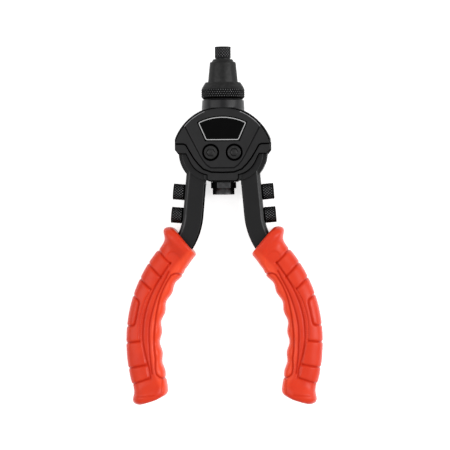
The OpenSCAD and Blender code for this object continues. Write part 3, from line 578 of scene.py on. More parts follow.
def outerLoop(node, level):
    # the outline, in mm, of a CAD solid's flat face at a height from the middle plane
    bm = bmesh.new()
    bm.from_mesh(nodes[node].data)
    bmesh.ops.remove_doubles(bm, verts=bm.verts, dist=2e-6)
    aside = [f for f in bm.faces
             if abs(f.normal.z) < 0.99 or abs(abs(f.calc_center_median().z / mm - middleZ) - level) > 0.02]
    bmesh.ops.delete(bm, geom=aside, context="FACES")
    bmesh.ops.dissolve_limit(bm, angle_limit=0.01, verts=bm.verts, edges=bm.edges)
    edges, loops = {e for e in bm.edges if e.is_boundary}, []
    while edges:
        edge = edges.pop()
        loop, here = [edge.verts[0]], edge.verts[1]
        while here is not loop[0]:
            loop.append(here)
            edge = next(e for e in here.link_edges if e in edges)
            edges.discard(edge)
            here = edge.other_vert(here)
        loops.append([(v.co.x / mm, v.co.y / mm) for v in loop])
    bm.free()
    return max(loops, key=lambda l: max(x for x, y in l) - min(x for x, y in l))


def shadeLineRound(node, name, side):
    # a thin black strip of painted shade round a cover, moved out from its outline
    s = shadeLine
    line = [Vector(p) for p in outerLoop(node, s["level"])]
    area = sum(a.x * b.y - b.x * a.y for a, b in zip(line, line[1:] + line[:1]))
    if area < 0:
        line.reverse()
    n, outer = len(line), []
    for i in range(n):
        a, b = (line[i] - line[i - 1]).normalized(), (line[(i + 1) % n] - line[i]).normalized()
        out = Vector((a.y + b.y, -a.x - b.x)).normalized()
        reach = s["reach"] / max(s["mitre"], out.dot(Vector((a.y, -a.x))))
        spot = line[i] + out * reach
        outer.append((max(-s["limitX"], min(s["limitX"], spot.x)), spot.y))
    low, high = (middleZ + side * s["level"]) * mm, (middleZ + side * (s["level"] + s["height"])) * mm
    rings = [[(x * mm, y * mm, z) for x, y in loop]
             for loop, z in ((line, high), (outer, high), (outer, low), (line, low))]
    faces = [(k * n + j, k * n + (j + 1) % n, (k + 1) % 4 * n + (j + 1) % n, (k + 1) % 4 * n + j)
             for k in range(4) for j in range(n)]
    obj = newObject(name, meshFrom(name, [p for ring in rings for p in ring], faces, 30))
    obj.data.materials.append(paintedShadeFinish)
    return obj


for node, name in (("front_cover", "frontCover"), ("rear_cover", "rearCover")):
    placePiece(coverPiece(node, name), "frame", "cover_plastic", node)
for node, name, side in (("front_cover", "frontShadeLine", 1), ("rear_cover", "rearShadeLine", -1)):
    placePiece(shadeLineRound(node, name, side), "frame", "cover_plastic")
# a bolt's socket: its place, a radius past its corners and its floor's height over the middle plane, in mm
bolt = dict(pivotX=9.0, socket=3.6, low=14.9)


def boltPair():
    # painted shade: a socket's edge and walls get the dark finish
    obj = softCopy("pivot_bolts", "pivotBolts", screwFinish, edgeRadii["bolt"])
    obj.data.materials.append(paintedShadeFinish)
    for face in obj.data.polygons:
        x, y, z = face.center / mm
        inside = math.hypot(abs(x) - bolt["pivotX"], y - pivotY) < bolt["socket"]
        if inside and z - middleZ > bolt["low"] and abs(face.normal.z) < 0.985:
            face.material_index = 1
    return obj


placePiece(boltPair(), "frame", "black_screw_steel", "pivot_bolts")
for node, name, finish, edge, slotName in (
        ("pivot_nuts", "pivotNuts", screwFinish, "nut", "black_screw_steel"),
        ("rear_plug", "rearPlug", plugFinish, "plug", "black_oxide_steel"),
        ("plug_washer", "plugWasher", rubberFinish, "washer", "black_rubber")):
    placePiece(softCopy(node, name, finish, edgeRadii[edge]), "frame", slotName, node)
print("head pieces made")


# Label: a fan-shaped plate with a silver border round a plain black field

# in mm from the pivots' line and the middle plane: upper and lower are two points on the label's side, the
# border stands dip over the field, and hold is a narrow strip that keeps the edge's shading off the border
label = dict(top=27.2, arc=40.7, upper=(19.5, 25.0), lower=(12.5, 9.25), floor=16.5, face=17.0,
             border=0.75, corner=1.3, sharpest=0.5, edge=0.12, hold=0.01, dip=0.12, slope=0.1, field=2.5,
             points=41)


def labelOutline(inset):
    # the fan's outline in mm, with every side moved in by inset
    radius, centreY = label["arc"] - inset, label["top"] - label["arc"]
    (x1, y1), (x2, y2) = label["upper"], label["lower"]
    along = Vector((x1 - x2, y1 - y2)).normalized()
    x2, y2 = x2 - along.y * inset, y2 + along.x * inset
    low = label["lower"][1] + inset
    corner = (x2 + along.x * (low - y2) / along.y, low)
    # where the side meets the arc
    away = Vector((corner[0], corner[1] - centreY))
    b, c = away.dot(along), away.dot(away) - radius ** 2
    reach = -b + math.sqrt(b * b - c)
    top = (corner[0] + along.x * reach, corner[1] + along.y * reach)
    spread = math.atan2(top[0], top[1] - centreY)
    soft = max(label["corner"] - inset, label["sharpest"])
    turns = np.linspace(soft / radius - spread, spread - soft / radius, label["points"])
    arc = [(radius * math.sin(t), centreY + radius * math.cos(t)) for t in turns]
    top, corner = Vector(top), Vector(corner)
    half = softCorner(Vector(arc[-1]), top, top - along * soft, 6)[1:]
    half += softCorner(corner + along * soft, corner, Vector((corner.x - soft, low)), 6)
    return arc + half + [(-x, y) for x, y in reversed(half)]


def labelPlate():
    s = label
    face, edge, border = s["face"], s["edge"], s["border"]
    loops = [(0, s["floor"]), (0, face - edge), (edge, face), (edge + s["hold"], face), (border, face),
             (border + s["slope"], face - s["dip"]), (border + s["field"], face - s["dip"])]
    rings = [[(x * mm, y * mm, z * mm) for x, y in labelOutline(inset)] for inset, z in loops]
    n = len(rings[0])
    points = [p for ring in rings for p in ring]
    faces, slots = [tuple(range(n - 1, -1, -1))], [0]
    for k in range(len(rings) - 1):
        for j in range(n):
            faces.append((k * n + j, k * n + (j + 1) % n, (k + 1) * n + (j + 1) % n, (k + 1) * n + j))
            slots.append(1 if k in (2, 3) else 0)
    faces.append(tuple((len(rings) - 1) * n + j for j in range(n)))
    slots.append(0)
    mesh = bpy.data.meshes.new("labelPlate")
    mesh.from_pydata(points, [], faces)
    mesh.materials.append(labelFinish)
    mesh.materials.append(borderFinish)
    mesh.polygons.foreach_set("material_index", slots)
    faceOutwards(mesh)
    mesh.transform(toFrame)
    shadeByAngle(mesh, 30)
    return newObject("labelPlate", mesh)


placePiece(labelPlate(), "frame", "label_gloss", "label_plate")
print("label made")


# Nose: ring nut, cone sleeve and the fitted nosepiece, turned about the nose axis

# Radii and distances from the pivots' line in mm. Each edge is a row of points, given as how far they lie
# inside the piece's radius and how far from its end
ring = dict(outer=16.7, back=41.4, length=12.7, bore=13.05, hole=11.8, wall=3.6, bandBack=42.6,
            bandFront=48.7, backEdge=((1.3, 0), (1.3, 0.25), (0.45, 1.0)),
            frontEdge=((0.8, 3.7), (1.8, 2.2), (2.6, 0.8), (3.2, 0)), frontRadii=(0.3, 1.0, 1.2, 0.7, 0),
            holeEdge=0.3, teeth=56, rowHeight=3.0, depth=0.62, fade=0.12, segments=672, step=0.16)
sleeve = dict(base=11.6, tip=10.0, front=72.0, bore=7.6, seat=9.98, seatBack=43.0, flange=12.8,
              flangeBack=47.45, flangeFront=50.45, coneBack=53.0, coneFront=69.2,
              shoulder=((0.25, 0.55), (1.4, 0.7), (1.6, 1.1)), face=((2.5, 0.15), (2.75, 0)),
              stem=5.05, stemEdge=0.2, threadBack=64.0)
nose = dict(bore=1.6, head=6.25, headLength=9.3, stem=5.0, stemLength=8.0, tailLength=3.5, tail=3.0,
            tailCone=(0.8, 1.4), undercut=5.6, undercutLength=0.5, sink=0.45,
            backEdge=((0.6, 0), (0.05, 0.55)), frontEdge=((0, 0.7), (0.1, 0.3), (0.7, 0)), boreEdge=0.45,
            knurlBack=0.7, knurlFront=0.8, teeth=18, rowHeight=2.3, depth=0.42, fade=0.15, shadedFoot=1.5,
            segments=288, step=0.14)
aboutNose = toFrame @ Matrix.Rotation(math.radians(-90), 4, "X")


def steps(a, b, step):
    # points from a to b, about step apart, without b
    n = max(1, round(math.hypot(b[0] - a[0], b[1] - a[1]) / step))
    return [(a[0] + (b[0] - a[0]) * i / n, a[1] + (b[1] - a[1]) * i / n) for i in range(n)]


def ringNut():
    s = ring
    r, back, front, soft = s["outer"], s["back"], s["back"] + s["length"], s["holeEdge"]
    band = [(r - inward, back + along) for inward, along in s["backEdge"]]
    band += steps((r, s["bandBack"]), (r, s["bandFront"]), s["step"]) + [(r, s["bandFront"])]
    # the front chamfer runs in one soft curve from the knurl to the top flat
    chamfer = [(r - s["backEdge"][-1][0], s["bandFront"] + 0.5)]
    chamfer += [(r - inward, front - along) for inward, along in s["frontEdge"]]
    inside = [(s["hole"] + soft, front), (s["hole"], front - soft), (s["hole"], front - s["wall"]),
              (s["bore"], front - s["wall"]), (s["bore"], back + soft), (s["bore"] + soft, back)]
    outline = band + fillet(chamfer, s["frontRadii"], 5) + inside
    obj = newObject("ringNut", lathe("ringNut", outline, s["segments"], 30))
    obj = useTree(obj, knurl, {"Teeth": s["teeth"], "Row height": s["rowHeight"] * mm,
                               "Depth": s["depth"] * mm, "Band start": (s["bandBack"] - 0.05) * mm,
                               "Band end": (s["bandFront"] + 0.05) * mm, "Fade": s["fade"] * mm,
                               "Finish": ringFinish})
    obj.data.materials.append(paintedShadeFinish)
    shadeTo = back + s["backEdge"][-1][1] - 0.05
    for face in obj.data.polygons:  # painted shade in the chamfer against the casting
        if face.center.z < shadeTo * mm and math.hypot(*face.center[:2]) > (s["bore"] + 0.5) * mm:
            face.material_index = 1
    obj.data.transform(aboutNose)
    return obj


def coneSleeve():
    s = sleeve
    front, base, tip, soft = s["front"], s["base"], s["tip"], s["stemEdge"]
    outline = [(s["bore"], s["seatBack"]), (s["seat"], s["seatBack"]), (s["seat"], s["flangeBack"]),
               (s["flange"], s["flangeBack"]), (s["flange"], s["flangeFront"]), (base, s["flangeFront"]),
               (base, s["coneBack"]), (tip, s["coneFront"])]
    outline += [(tip - inward, s["coneFront"] + along) for inward, along in s["shoulder"]]
    outline += [(tip - inward, front - along) for inward, along in s["face"]]
    outline += [(s["stem"] + soft, front), (s["stem"], front - soft), (s["stem"], s["threadBack"]),
                (s["bore"], s["threadBack"])]
    radii = [0.2, 0.3, 0, 0.2, 0.3, 0, 0.5, 0.5, 0.35, 0.2, 0.3, 0.4, 0.2, 0.1, 0, 0, 0.2]
    obj = newObject("coneSleeve", lathe("coneSleeve", fillet(outline, radii, 4), 192, 30))
    obj.data.materials.append(sleeveFinish)
    obj.data.transform(aboutNose)
    return obj


def nosepiece(name, bore, finish, place, foot):
    s = nose
    neck, top, r = s["undercutLength"], s["undercutLength"] + s["headLength"], s["head"]
    thread, end = -s["stemLength"], -s["stemLength"] - s["tailLength"]
    outline = [(bore, end), (s["tail"] - s["tailCone"][0], end), (s["tail"], end + s["tailCone"][1]),
               (s["tail"], thread), (s["stem"] - 0.5, thread), (s["stem"], thread + 0.5), (s["stem"], 0),
               (s["undercut"], 0), (s["undercut"], neck)]
    outline += [(r - inward, neck + along) for inward, along in s["backEdge"]]
    low, high = neck + s["knurlBack"], top - s["knurlFront"]
    outline += steps((r, low), (r, high), s["step"]) + [(r, high)]
    outline += fillet([(r - inward, top - along) for inward, along in s["frontEdge"]], [0, 0.3, 0.3], 5)
    outline += [(bore + s["boreEdge"], top), (bore, top - s["boreEdge"])]
    obj = newObject(name, lathe(name, outline, s["segments"], 30))
    obj = useTree(obj, knurl, {"Teeth": s["teeth"], "Row height": s["rowHeight"] * mm,
                               "Depth": s["depth"] * mm, "Band start": (low + 0.05) * mm,
                               "Band end": (high - 0.05) * mm, "Fade": s["fade"] * mm, "Finish": finish})
    obj.data.materials.append(foot)
    for face in obj.data.polygons:  # painted shade on the head's foot, next to its seat
        if -0.1 * mm < face.center.z < s["shadedFoot"] * mm and math.hypot(*face.center[:2]) > s["stem"] * mm:
            face.material_index = 1
    obj.data.transform(place)
    return obj


placePiece(ringNut(), "frame", "black_oxide_steel", "knurled_ring")
placePiece(coneSleeve(), "frame", "black_oxide_steel", "nose_sleeve")
fitted = aboutNose @ Matrix.Translation((0, 0, sleeve["front"] * mm))
placePiece(nosepiece("fittedNosepiece", nose["bore"], noseFinish, fitted, castFinish), "frame",
           "black_oxide_steel", "nosepiece")
print("nose made")


# Handles: forged arms with the spare nosepieces screwed into their outer edges

# tilt in degrees, the rest in mm; the spares' places and the start of the inner wall's painted shade run back
# from the pivots
handle = dict(tilt=5.0, startX=21.2, startY=22.0, width=15.0, spares=(30.9, 48.8), shadeFrom=24)

for side in ("right", "left"):
    arm = softCopy(side + "_arm", side + "Arm", armFinish, edgeRadii["arm"], ridge=edgeRadii["armRidge"])
    arm.data.materials.append(ridgeHighlightFinish)
    arm.data.materials.append(paintedShadeFinish)
    for face in arm.data.polygons:  # painted shade on the wall that faces the other handle
        facing = face.normal.x * face.center.x < 0 and abs(face.normal.x) > 0.3
        if facing and abs(face.normal.z) < 0.6 and face.center.y / mm < pivotY - handle["shadeFrom"]:
            face.material_index = 2
    placePiece(arm, side + "_handle", "arm_steel", side + "_arm")


def sparePlace(y):
    # square to the right handle's outer edge, y mm behind the pivots
    x = handle["startX"] + (y - handle["startY"]) * math.tan(math.radians(handle["tilt"]))
    spin = Matrix.Rotation(math.radians(handle["tilt"]), 4, "Z") @ Matrix.Rotation(math.pi / 2, 4, "Y")
    return (toFrame @ Matrix.Translation((x * mm, -y * mm, 0)) @ spin
            @ Matrix.Translation((0, 0, (handle["width"] / 2 - nose["sink"]) * mm)))


for y, rightBore, rightName, leftBore, leftName in (
        (handle["spares"][0], 1.4, "4_0", 1.05, "2_4"), (handle["spares"][1], 1.95, "6_4", 1.2, "3_2")):
    right = nosepiece("spareNosepiece" + rightName, rightBore, spareFinish, sparePlace(y), paintedShadeFinish)
    placePiece(right, "right_handle", "black_oxide_steel", "spare_nosepiece_" + rightName)
    left = nosepiece("spareNosepiece" + leftName, leftBore, spareFinish, sparePlace(y), paintedShadeFinish)
    left.data = mirrored(left.data, left.name)
    placePiece(left, "left_handle", "black_oxide_steel", "spare_nosepiece_" + leftName)
print("handles made")


# Grips: one moulded skin along the handle's curve, with grooves, panels and finger waves.
# Angles run round the curve's centre in degrees, from the butt up to the guard; radii are in mm.
# The section is an ellipse where power is 1, and squarer below that

grip = dict(centre=(-33.3469, -143.078), guard=50.0, butt=-27.3, power=0.62, columns=248, rows=318,
            halfWide=12.7, halfThick=13.5, midRadius=98, endRound=2.0, endRows=9,
            waveHeight=0.75, wavePitch=10.9, waveCrest=3.7, waveGaps=(6, 8), waveFade=6,
            panelRise=0.48, panelSlope=1.2, panelSpan=(-19.5, 39.6), panelFade=1.6,
            grooveHalf=0.57, grooveDepth=0.75, pitDepth=0.35, pitRadius=0.9, pitInside=110,
            pocketDepth=0.5, pocketEdge=1.4, pocketLow=5.0, paintedLightRadius=90.0, paintedLightFade=4.0,
            leanFrom=-19, leanFade=8)
outerEdge = [(-27.3, 112.6), (-26.4, 113.8), (-25.4, 114.5), (-24.5, 114.2), (-23.5, 113), (-22.3, 111.5),
             (-21, 110.4), (-19, 109.7), (-15.6, 109.5), (-12.5, 109.1), (-9, 109), (-6, 108.7), (-2, 108.5),
             (5, 108.35), (38, 108.2), (41, 108.4), (42.5, 108.8), (43.9, 109.6), (44.8, 111), (45.4, 113),
             (45.9, 114.9), (46.6, 116.1), (47.5, 116.2), (48.3, 115.6), (49.2, 114.2), (50, 112.6)]
innerEdge = [(-27.3, 88.8), (-26.8, 87.8), (-26, 86.9), (-25, 86.1), (-23.4, 85.2), (-21, 84.3), (-18, 83.6),
             (-14, 82.7), (36, 82.4), (38.4, 82.5), (42.5, 83.2), (46, 84), (48.5, 84.6), (50, 84.8)]
halfThick = [(-27.3, 15.4), (-26.4, 16.3), (-25.2, 16.6), (-23.8, 16.4), (-22.4, 15.4), (-20.8, 14.2),
             (-19, 13.6), (-17.5, 13.5), (40.5, 13.5), (43, 13.9), (44.5, 14.8), (45.7, 16.1), (46.8, 16.8),
             (49, 16.8), (50, 16.5)]
panelEdge = [(-18.3, 95.9), (-11.8, 95.4), (-6, 95.4), (-1.8, 96.4), (-0.9, 98.2), (1.8, 98.7), (9.6, 99.2),
             (18, 98.6), (23.3, 97.1), (27, 95.3), (30.4, 94.6), (34.5, 94.4), (38.2, 94.5)]
buttLean = [(90, -1.3), (98, -1.15), (107, -0.2), (113, 0.5)]  # each radius, and its turn in degrees
notches = [
    [(40.1, 118), (39.5, 108.1), (38.5, 99.8), (38.2, 94.5)],
    [(33.6, 118), (32.7, 107.7), (31.1, 99), (30.4, 94.6)],
    [(27.2, 118), (25.8, 108.5), (23.6, 98.9), (23.3, 97.2)],
    [(20.2, 118), (18.4, 108.5), (17, 103.2), (15.9, 102), (10.5, 101.8), (6.9, 102.2), (5.9, 103.3),
     (5.5, 108.3), (5.4, 118)],
    [(-1.6, 118), (-1.4, 108.8), (-0.8, 98.3)], [(-11.9, 118), (-11.7, 109), (-11.8, 95.4)],
    [(-18.7, 118), (-18.3, 110), (-18.2, 95.9)]
]
longGrooves = [
    [(38.2, 94.5), (34, 94.3), (30, 94.5), (24, 94.9), (17, 95.5), (9, 95.8), (0, 95.5), (-8, 94.2),
     (-14, 93.4), (-18.2, 94.4)],
    [(34.6, 91.3), (31.5, 90.5), (22, 90.5), (14, 90.6), (6, 90.9), (-3.5, 90.5), (-12.5, 91.4),
     (-16.5, 92.3)],
    [(37.4, 80), (36.6, 84), (35.4, 86.8), (33.9, 88.2), (27.9, 88.4), (22.5, 88.1), (16, 87.3), (8.4, 86.6),
     (-0.5, 86.7), (-10, 87), (-15, 88.9), (-17.4, 89.2), (-19.2, 87.6), (-20.4, 85), (-20.8, 80)]
]
fineGrooves = [
    [(23.4, 97.1), (18, 98.4), (9.6, 99.1), (1.8, 98.6), (-0.8, 98.2)],
    [(-20.6, 86.5), (-23, 88.2), (-25.4, 90.2)],
    [(-25.3, 97), (-24.8, 101), (-24.2, 105), (-23.7, 108.5)]
]
pocket = [(43.4, 90.3), (43.9, 93.5), (43.6, 96.6), (42.8, 99.6), (41, 100.6), (38.9, 99.4), (38.1, 94.6),
          (34.8, 92), (34.6, 89.6), (36.4, 87.2), (38.6, 86.2), (41.4, 87)]


def alongGrip(table):
    # a table of (angle, value) as a smooth function of the angle, blurred over about a degree
    step, blur, reach = 0.05, 9, 30  # step in degrees, blur and reach in steps
    fine = np.arange(-32, 55, step)
    value = np.interp(fine, *np.array(table).T)
    bell = np.exp(-0.5 * (np.arange(-reach, reach + 1) / blur) ** 2)
    smooth = np.convolve(np.pad(value, reach, mode="edge"), bell / bell.sum(), mode="valid")
    return lambda angle: np.interp(angle, fine, smooth)


def onCurve(line):
    # a line of (angle, radius), softened at its corners, in mm about the curve's centre
    line, degree, gap = np.array(line, float), 1.7, 0.5  # a degree's length and the points' spacing in mm
    run = np.concatenate([[0], np.cumsum(np.hypot(np.diff(line[:, 0]) * degree, np.diff(line[:, 1])))])
    at = np.linspace(0, run[-1], max(8, int(run[-1] / gap)))
    line = np.stack([np.interp(at, run, line[:, k]) for k in (0, 1)], 1)
    for _ in range(3):
        line[1:-1] = (line[:-2] + line[1:-1] * 2 + line[2:]) / 4
    angle = np.radians(line[:, 0])
    return np.stack([line[:, 1] * np.cos(angle), line[:, 1] * np.sin(angle)], 1)


def distanceTo(points, line):
    # each point's distance from a line, or a large number past the width that a groove or pocket marks
    near, widest = np.full(len(points), 1e9), 3.5
    for a, b in zip(line[:-1], line[1:]):
        d = b - a
        box = np.abs(points - (a + b) / 2).max(1) < widest
        if not box.any():
            continue
        p = points[box]
        t = np.clip(((p - a) @ d) / max(d @ d, 1e-12), 0, 1)
        near[box] = np.minimum(near[box], np.hypot(*(p - a - t[:, None] * d).T))
    return near


def insideOf(points, line):
    inside = np.zeros(len(points), bool)
    for (x1, y1), (x2, y2) in zip(line, np.roll(line, -1, 0)):
        crosses = (y1 > points[:, 1]) != (y2 > points[:, 1])
        inside ^= crosses & (points[:, 0] < (x2 - x1) * (points[:, 1] - y1) / (y2 - y1 + 1e-12) + x1)
    return inside


def ease(t):
    t = np.clip(t, 0, 1)
    return t * t * (3 - 2 * t)


def signedPower(v, power):
    return np.sign(v) * np.abs(v) ** power


def gripRows():
    # the angles of the skin's rows, close together over the rounded ends, and how far each is drawn in there
    s = grip
    quarter = np.linspace(0, math.pi / 2, s["endRows"])
    back = np.degrees(s["endRound"] * (1 - np.cos(quarter)) / s["midRadius"])
    drawnIn = s["endRound"] * (1 - np.sin(quarter))
    middle = np.linspace(s["butt"] + back[-1], s["guard"] - back[-1], s["rows"])[1:-1]
    angles = np.concatenate([s["butt"] + back, middle, s["guard"] - back[::-1]])
    return angles, np.concatenate([drawnIn, np.zeros(len(middle)), drawnIn[::-1]])


def gripColumns():
    # even steps round the section, starting at its outer side
    s = grip
    fine = np.linspace(0, 2 * math.pi, 4001)
    wide = signedPower(np.cos(fine), s["power"]) * s["halfWide"]
    thick = signedPower(np.sin(fine), s["power"]) * s["halfThick"]
    run = np.concatenate([[0], np.cumsum(np.hypot(np.diff(wide), np.diff(thick)))])
    return np.interp(np.arange(s["columns"]) / s["columns"] * run[-1], run, fine)


def gripRelief(angle, radius, height):
    # how far each point stands out of the smooth skin in mm, and how deep in a groove it lies, from 0 to 1
    s = grip
    flat = np.stack([radius * np.cos(np.radians(angle)), radius * np.sin(np.radians(angle))], 1)
    # the outer panels stand a little proud of the ribs
    first, last = s["panelSpan"]
    span = ease((angle - first) / s["panelFade"]) * ease((last - angle) / s["panelFade"])
    rise = s["panelRise"] * ease((radius - alongGrip(panelEdge)(angle)) / s["panelSlope"] + 0.5) * span
    hollow = np.zeros(len(flat))
    # each kind of line has its share of a groove's width and depth
    for lines, width, depth in ((notches, 1.0, 1.0), (longGrooves, 1.0, 0.95), (fineGrooves, 0.7, 0.4)):
        for line in lines:
            cut = np.exp(-0.5 * (distanceTo(flat, onCurve(line)) / (s["grooveHalf"] * width)) ** 2)
            rise -= s["grooveDepth"] * depth * cut
            hollow = np.maximum(hollow, cut * depth)
    for line in notches:
        if line[-1][1] < s["pitInside"]:  # a small pit where a notch ends on the face
            away = np.hypot(*(flat - onCurve(line)[-1]).T)
            rise -= s["pitDepth"] * np.exp(-0.5 * (away / s["pitRadius"]) ** 2)
    line = onCurve(pocket + pocket[:1])
    signed = distanceTo(flat, line) * np.where(insideOf(flat, line), 1, -1)
    rise -= s["pocketDepth"] * ease(signed / s["pocketEdge"] + 0.5) * (np.abs(height) > s["pocketLow"])
    return rise, hollow


def gripPoints():
    # rows and columns of points in mm, and each point's share of groove and of painted light
    s = grip
    angles, inset = gripRows()
    turn = gripColumns()
    wave = s["waveHeight"] * np.cos(np.radians(360 * (angles - s["waveCrest"]) / s["wavePitch"]))
    wave *= (np.clip((s["guard"] - s["waveGaps"][1] - angles) / s["waveFade"], 0, 1)
             * np.clip((angles - s["butt"] - s["waveGaps"][0]) / s["waveFade"], 0, 1))
    outer = alongGrip(outerEdge)(angles) - inset
    inner = alongGrip(innerEdge)(angles) - wave + inset
    half = (alongGrip(halfThick)(angles) - inset)[:, None]
    mid, wide = ((outer + inner) / 2)[:, None], ((outer - inner) / 2)[:, None]
    across, up = signedPower(np.cos(turn), s["power"]), signedPower(np.sin(turn), s["power"])
    angle = np.repeat(angles[:, None], s["columns"], 1)
    radius, height = mid + wide * across, half * up
    # the smooth section's normal, along which the relief moves the skin
    normalR = signedPower(across, 2 / s["power"] - 1) / wide
    normalZ = signedPower(up, 2 / s["power"] - 1) / half
    size = np.hypot(normalR, normalZ)
    rise, hollow = gripRelief(angle.ravel(), radius.ravel(), height.ravel())
    # painted light: the inner side, inside paintedLightRadius, is drawn paler
    paintedLightShare = ease((s["paintedLightRadius"] - radius.ravel()) / s["paintedLightFade"] + 0.5)
    rise = rise.reshape(radius.shape)
    radius, height = radius + normalR / size * rise, height + normalZ / size * rise
    # the butt's face leans, so that the inner corner reaches further back
    lean = ease((s["leanFrom"] - angle) / s["leanFade"]) * np.interp(radius, *np.array(buttLean).T)
    angle = np.radians(angle + lean)
    x, y = s["centre"][0] + radius * np.cos(angle), s["centre"][1] + radius * np.sin(angle)
    return np.stack([x, y, height], -1), hollow, paintedLightShare


def gripSkin():
    grid, hollow, paintedLightShare = gripPoints()
    rows, columns = grid.shape[:2]
    points = np.concatenate([grid.reshape(-1, 3), [grid[0].mean(0), grid[-1].mean(0)]]) * mm
    first = np.arange(rows - 1)[:, None] * columns
    here, there = np.arange(columns)[None, :], (np.arange(columns)[None, :] + 1) % columns
    faces = np.stack([first + here, first + there, first + columns + there, first + columns + here], -1)
    faces = [tuple(f) for f in faces.reshape(-1, 4).tolist()]
    low, high = rows * columns, rows * columns + 1
    for j in range(columns):  # each end closes on its middle point
        k = (j + 1) % columns
        faces.append((low, k, j))
        faces.append((high, (rows - 1) * columns + j, (rows - 1) * columns + k))
    mesh = bpy.data.meshes.new("rightGrip")
    mesh.from_pydata(points.tolist(), [], faces)
    for name, share in (("hollow", hollow), ("paintedLightShare", paintedLightShare)):
        mesh.attributes.new(name, "FLOAT", "POINT").data.foreach_set(
            "value", np.concatenate([np.clip(share, 0, 1), [0, 0]]).astype(np.float32))
    mesh.transform(toFrame)
    faceOutwards(mesh)
    shadeByAngle(mesh, 50)
    mesh.materials.append(gripFinish)
    return mesh


rightSkin = gripSkin()
placePiece(newObject("rightGrip", rightSkin), "right_handle", "grip_plastic", "right_grip")
placePiece(newObject("leftGrip", mirrored(rightSkin, "leftGrip")), "left_handle", "grip_plastic", "left_grip")

# a row of ribs on the panel: their circle and height over the middle plane in mm, first and last in degrees
ribs = dict(count=24, radius=97.3, first=2.0, last=22.0, height=13.42, size=(1.9, 0.5, 0.5))


def gripRibs():
    empty = bpy.data.meshes.new("rightGripRibs")
    obj = newObject("rightGripRibs", empty)
    centre = (grip["centre"][0] * mm, grip["centre"][1] * mm, 0)
    obj = useTree(obj, ticks, {"Count": ribs["count"], "Centre": centre, "Radius": ribs["radius"] * mm,
                               "First angle": math.radians(ribs["first"]),
                               "Last angle": math.radians(ribs["last"]), "Height": ribs["height"] * mm,
                               "Rib size": tuple(v * mm for v in ribs["size"]), "Finish": gripFinish})
    obj.data.transform(toFrame)
    return obj


rightRibs = gripRibs()
leftRibs = newObject("leftGripRibs", mirrored(rightRibs.data, "leftGripRibs"))
placePiece(rightRibs, "right_handle", "grip_plastic")
placePiece(leftRibs, "left_handle", "grip_plastic")
print("grips made:", len(rightSkin.polygons), "faces each")


# The pusher's spring: its CAD shape, copied in ground steel


def pusherSpring():
    obj = newObject("pusherSpring", nodes["jaw_spring"].data.copy())
    obj.data.materials.clear()
    obj.data.materials.append(steelFinish)
    placePiece(obj, "pull", "plain_steel", "jaw_spring")
    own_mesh(obj)


pusherSpring()
print("spring made")


# Carried-over nodes: the pulling gear inside

for finish, names in (
        (steelFinish, ("pull_rod", "pull_yoke", "yoke_nut", "drive_pins", "jaw_case", "jaw_pusher",
                       "jaw_1", "jaw_2", "jaw_3", "thrust_washers")),
        (bronzeFinish, ("left_bushes", "right_bushes"))):
    for name in names:
        for slotOnNode in nodes[name].material_slots:
            slotOnNode.material = finish
print("inner parts finished")


# Stage: pale floor, a soft box on each side, a narrow strip beside the right one, a white surround and
# the camera. Metres here, apart from floorDrop in mm; roll and lean are degrees

stage = dict(floorSize=6.0, floorDrop=0.05, floorColour="f4f4f4", floorGlow=0.62, surround=0.55,
             frameWidth=0.3465, distance=2.2, aim=(0.0009, -0.00035), roll=-0.36, lean=2.7)
lamps = [
    # name, degrees from straight up towards +X and towards +Y, distance, width, length, radiance
    ("rightSoftBox", 50, 6, 1.3, 0.60, 1.5, 2.7),
    ("rightStrip", 50, 6, 1.28, 0.10, 0.8, 12.0),
    ("leftSoftBox", -41, 4, 1.3, 0.50, 1.4, 2.5),
]


def shownPlainly(tree):
    # 1 where the camera sees the surface, itself or in gloss or glass
    seen = addNode(tree, "ShaderNodeLightPath").outputs
    direct = addNode(tree, "ShaderNodeMath", {0: seen["Is Camera Ray"], 1: seen["Is Glossy Ray"]},
                     operation="MAXIMUM")
    return addNode(tree, "ShaderNodeMath", {0: direct, 1: seen["Is Transmission Ray"]},
                   operation="MAXIMUM")


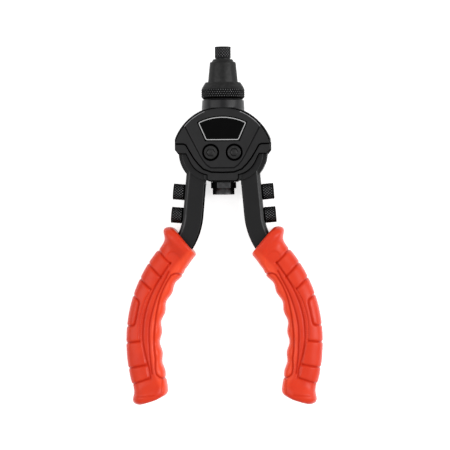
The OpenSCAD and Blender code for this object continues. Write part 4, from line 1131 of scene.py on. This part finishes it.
def makeStage():
    floorMesh = bpy.data.meshes.new("floor")
    side = stage["floorSize"] / 2
    low = -stage["floorDrop"] * mm  # just below the rear cover's face, so that the two don't flicker
    corners = [(-side, -side, low), (side, -side, low), (side, side, low), (-side, side, low)]
    floorMesh.from_pydata(corners, [], [(0, 1, 2, 3)])
    material, tree, place = startMaterial("paleFloor")
    glow = addNode(tree, "ShaderNodeMath", {0: shownPlainly(tree), 1: stage["floorGlow"]},
                   operation="MULTIPLY")
    lit = addNode(tree, "ShaderNodeBsdfDiffuse", {"Color": linear(stage["floorColour"])})
    own = addNode(tree, "ShaderNodeEmission", {"Color": (1, 1, 1, 1), "Strength": glow})
    both = addNode(tree, "ShaderNodeAddShader", {0: lit, 1: own})
    addNode(tree, "ShaderNodeOutputMaterial", {"Surface": both})
    floorMesh.materials.append(material)
    newObject("floor", floorMesh)

    world = bpy.data.worlds.new("paleSurround")
    world.use_nodes = True
    tree = world.node_tree
    tree.nodes.clear()
    level = addNode(tree, "ShaderNodeMapRange", {"Value": shownPlainly(tree), "To Min": stage["surround"],
                                                 "To Max": 1.0})
    sky = addNode(tree, "ShaderNodeBackground", {"Color": (1, 1, 1, 1), "Strength": level})
    addNode(tree, "ShaderNodeOutputWorld", {"Surface": sky})
    bpy.context.scene.world = world

    for name, tiltX, tiltY, distance, width, length, radiance in lamps:
        lamp = bpy.data.lights.new(name, "AREA")
        lamp.shape, lamp.size, lamp.size_y = "RECTANGLE", width, length
        lamp.energy = radiance * math.pi * width * length
        obj = bpy.data.objects.new(name, lamp)
        bpy.context.scene.collection.objects.link(obj)
        away = Vector((math.tan(math.radians(tiltX)), math.tan(math.radians(tiltY)), 1)).normalized()
        obj.location = away * distance
        obj.rotation_euler = away.to_track_quat("Z", "Y").to_euler()

    camera = bpy.data.cameras.new("camera")
    camera.lens = camera.sensor_width * stage["distance"] / stage["frameWidth"]
    camera.clip_start, camera.clip_end = 0.05, 50
    obj = bpy.data.objects.new("camera", camera)
    bpy.context.scene.collection.objects.link(obj)
    lean = math.radians(stage["lean"])
    obj.location = (stage["aim"][0] + stage["distance"] * math.sin(lean), stage["aim"][1],
                    middleZ * mm + stage["distance"] * math.cos(lean))
    obj.rotation_euler = (0, lean, math.radians(stage["roll"]))
    bpy.context.scene.camera = obj
    bpy.context.scene.view_settings.view_transform = "Standard"


makeStage()
print("stage set")
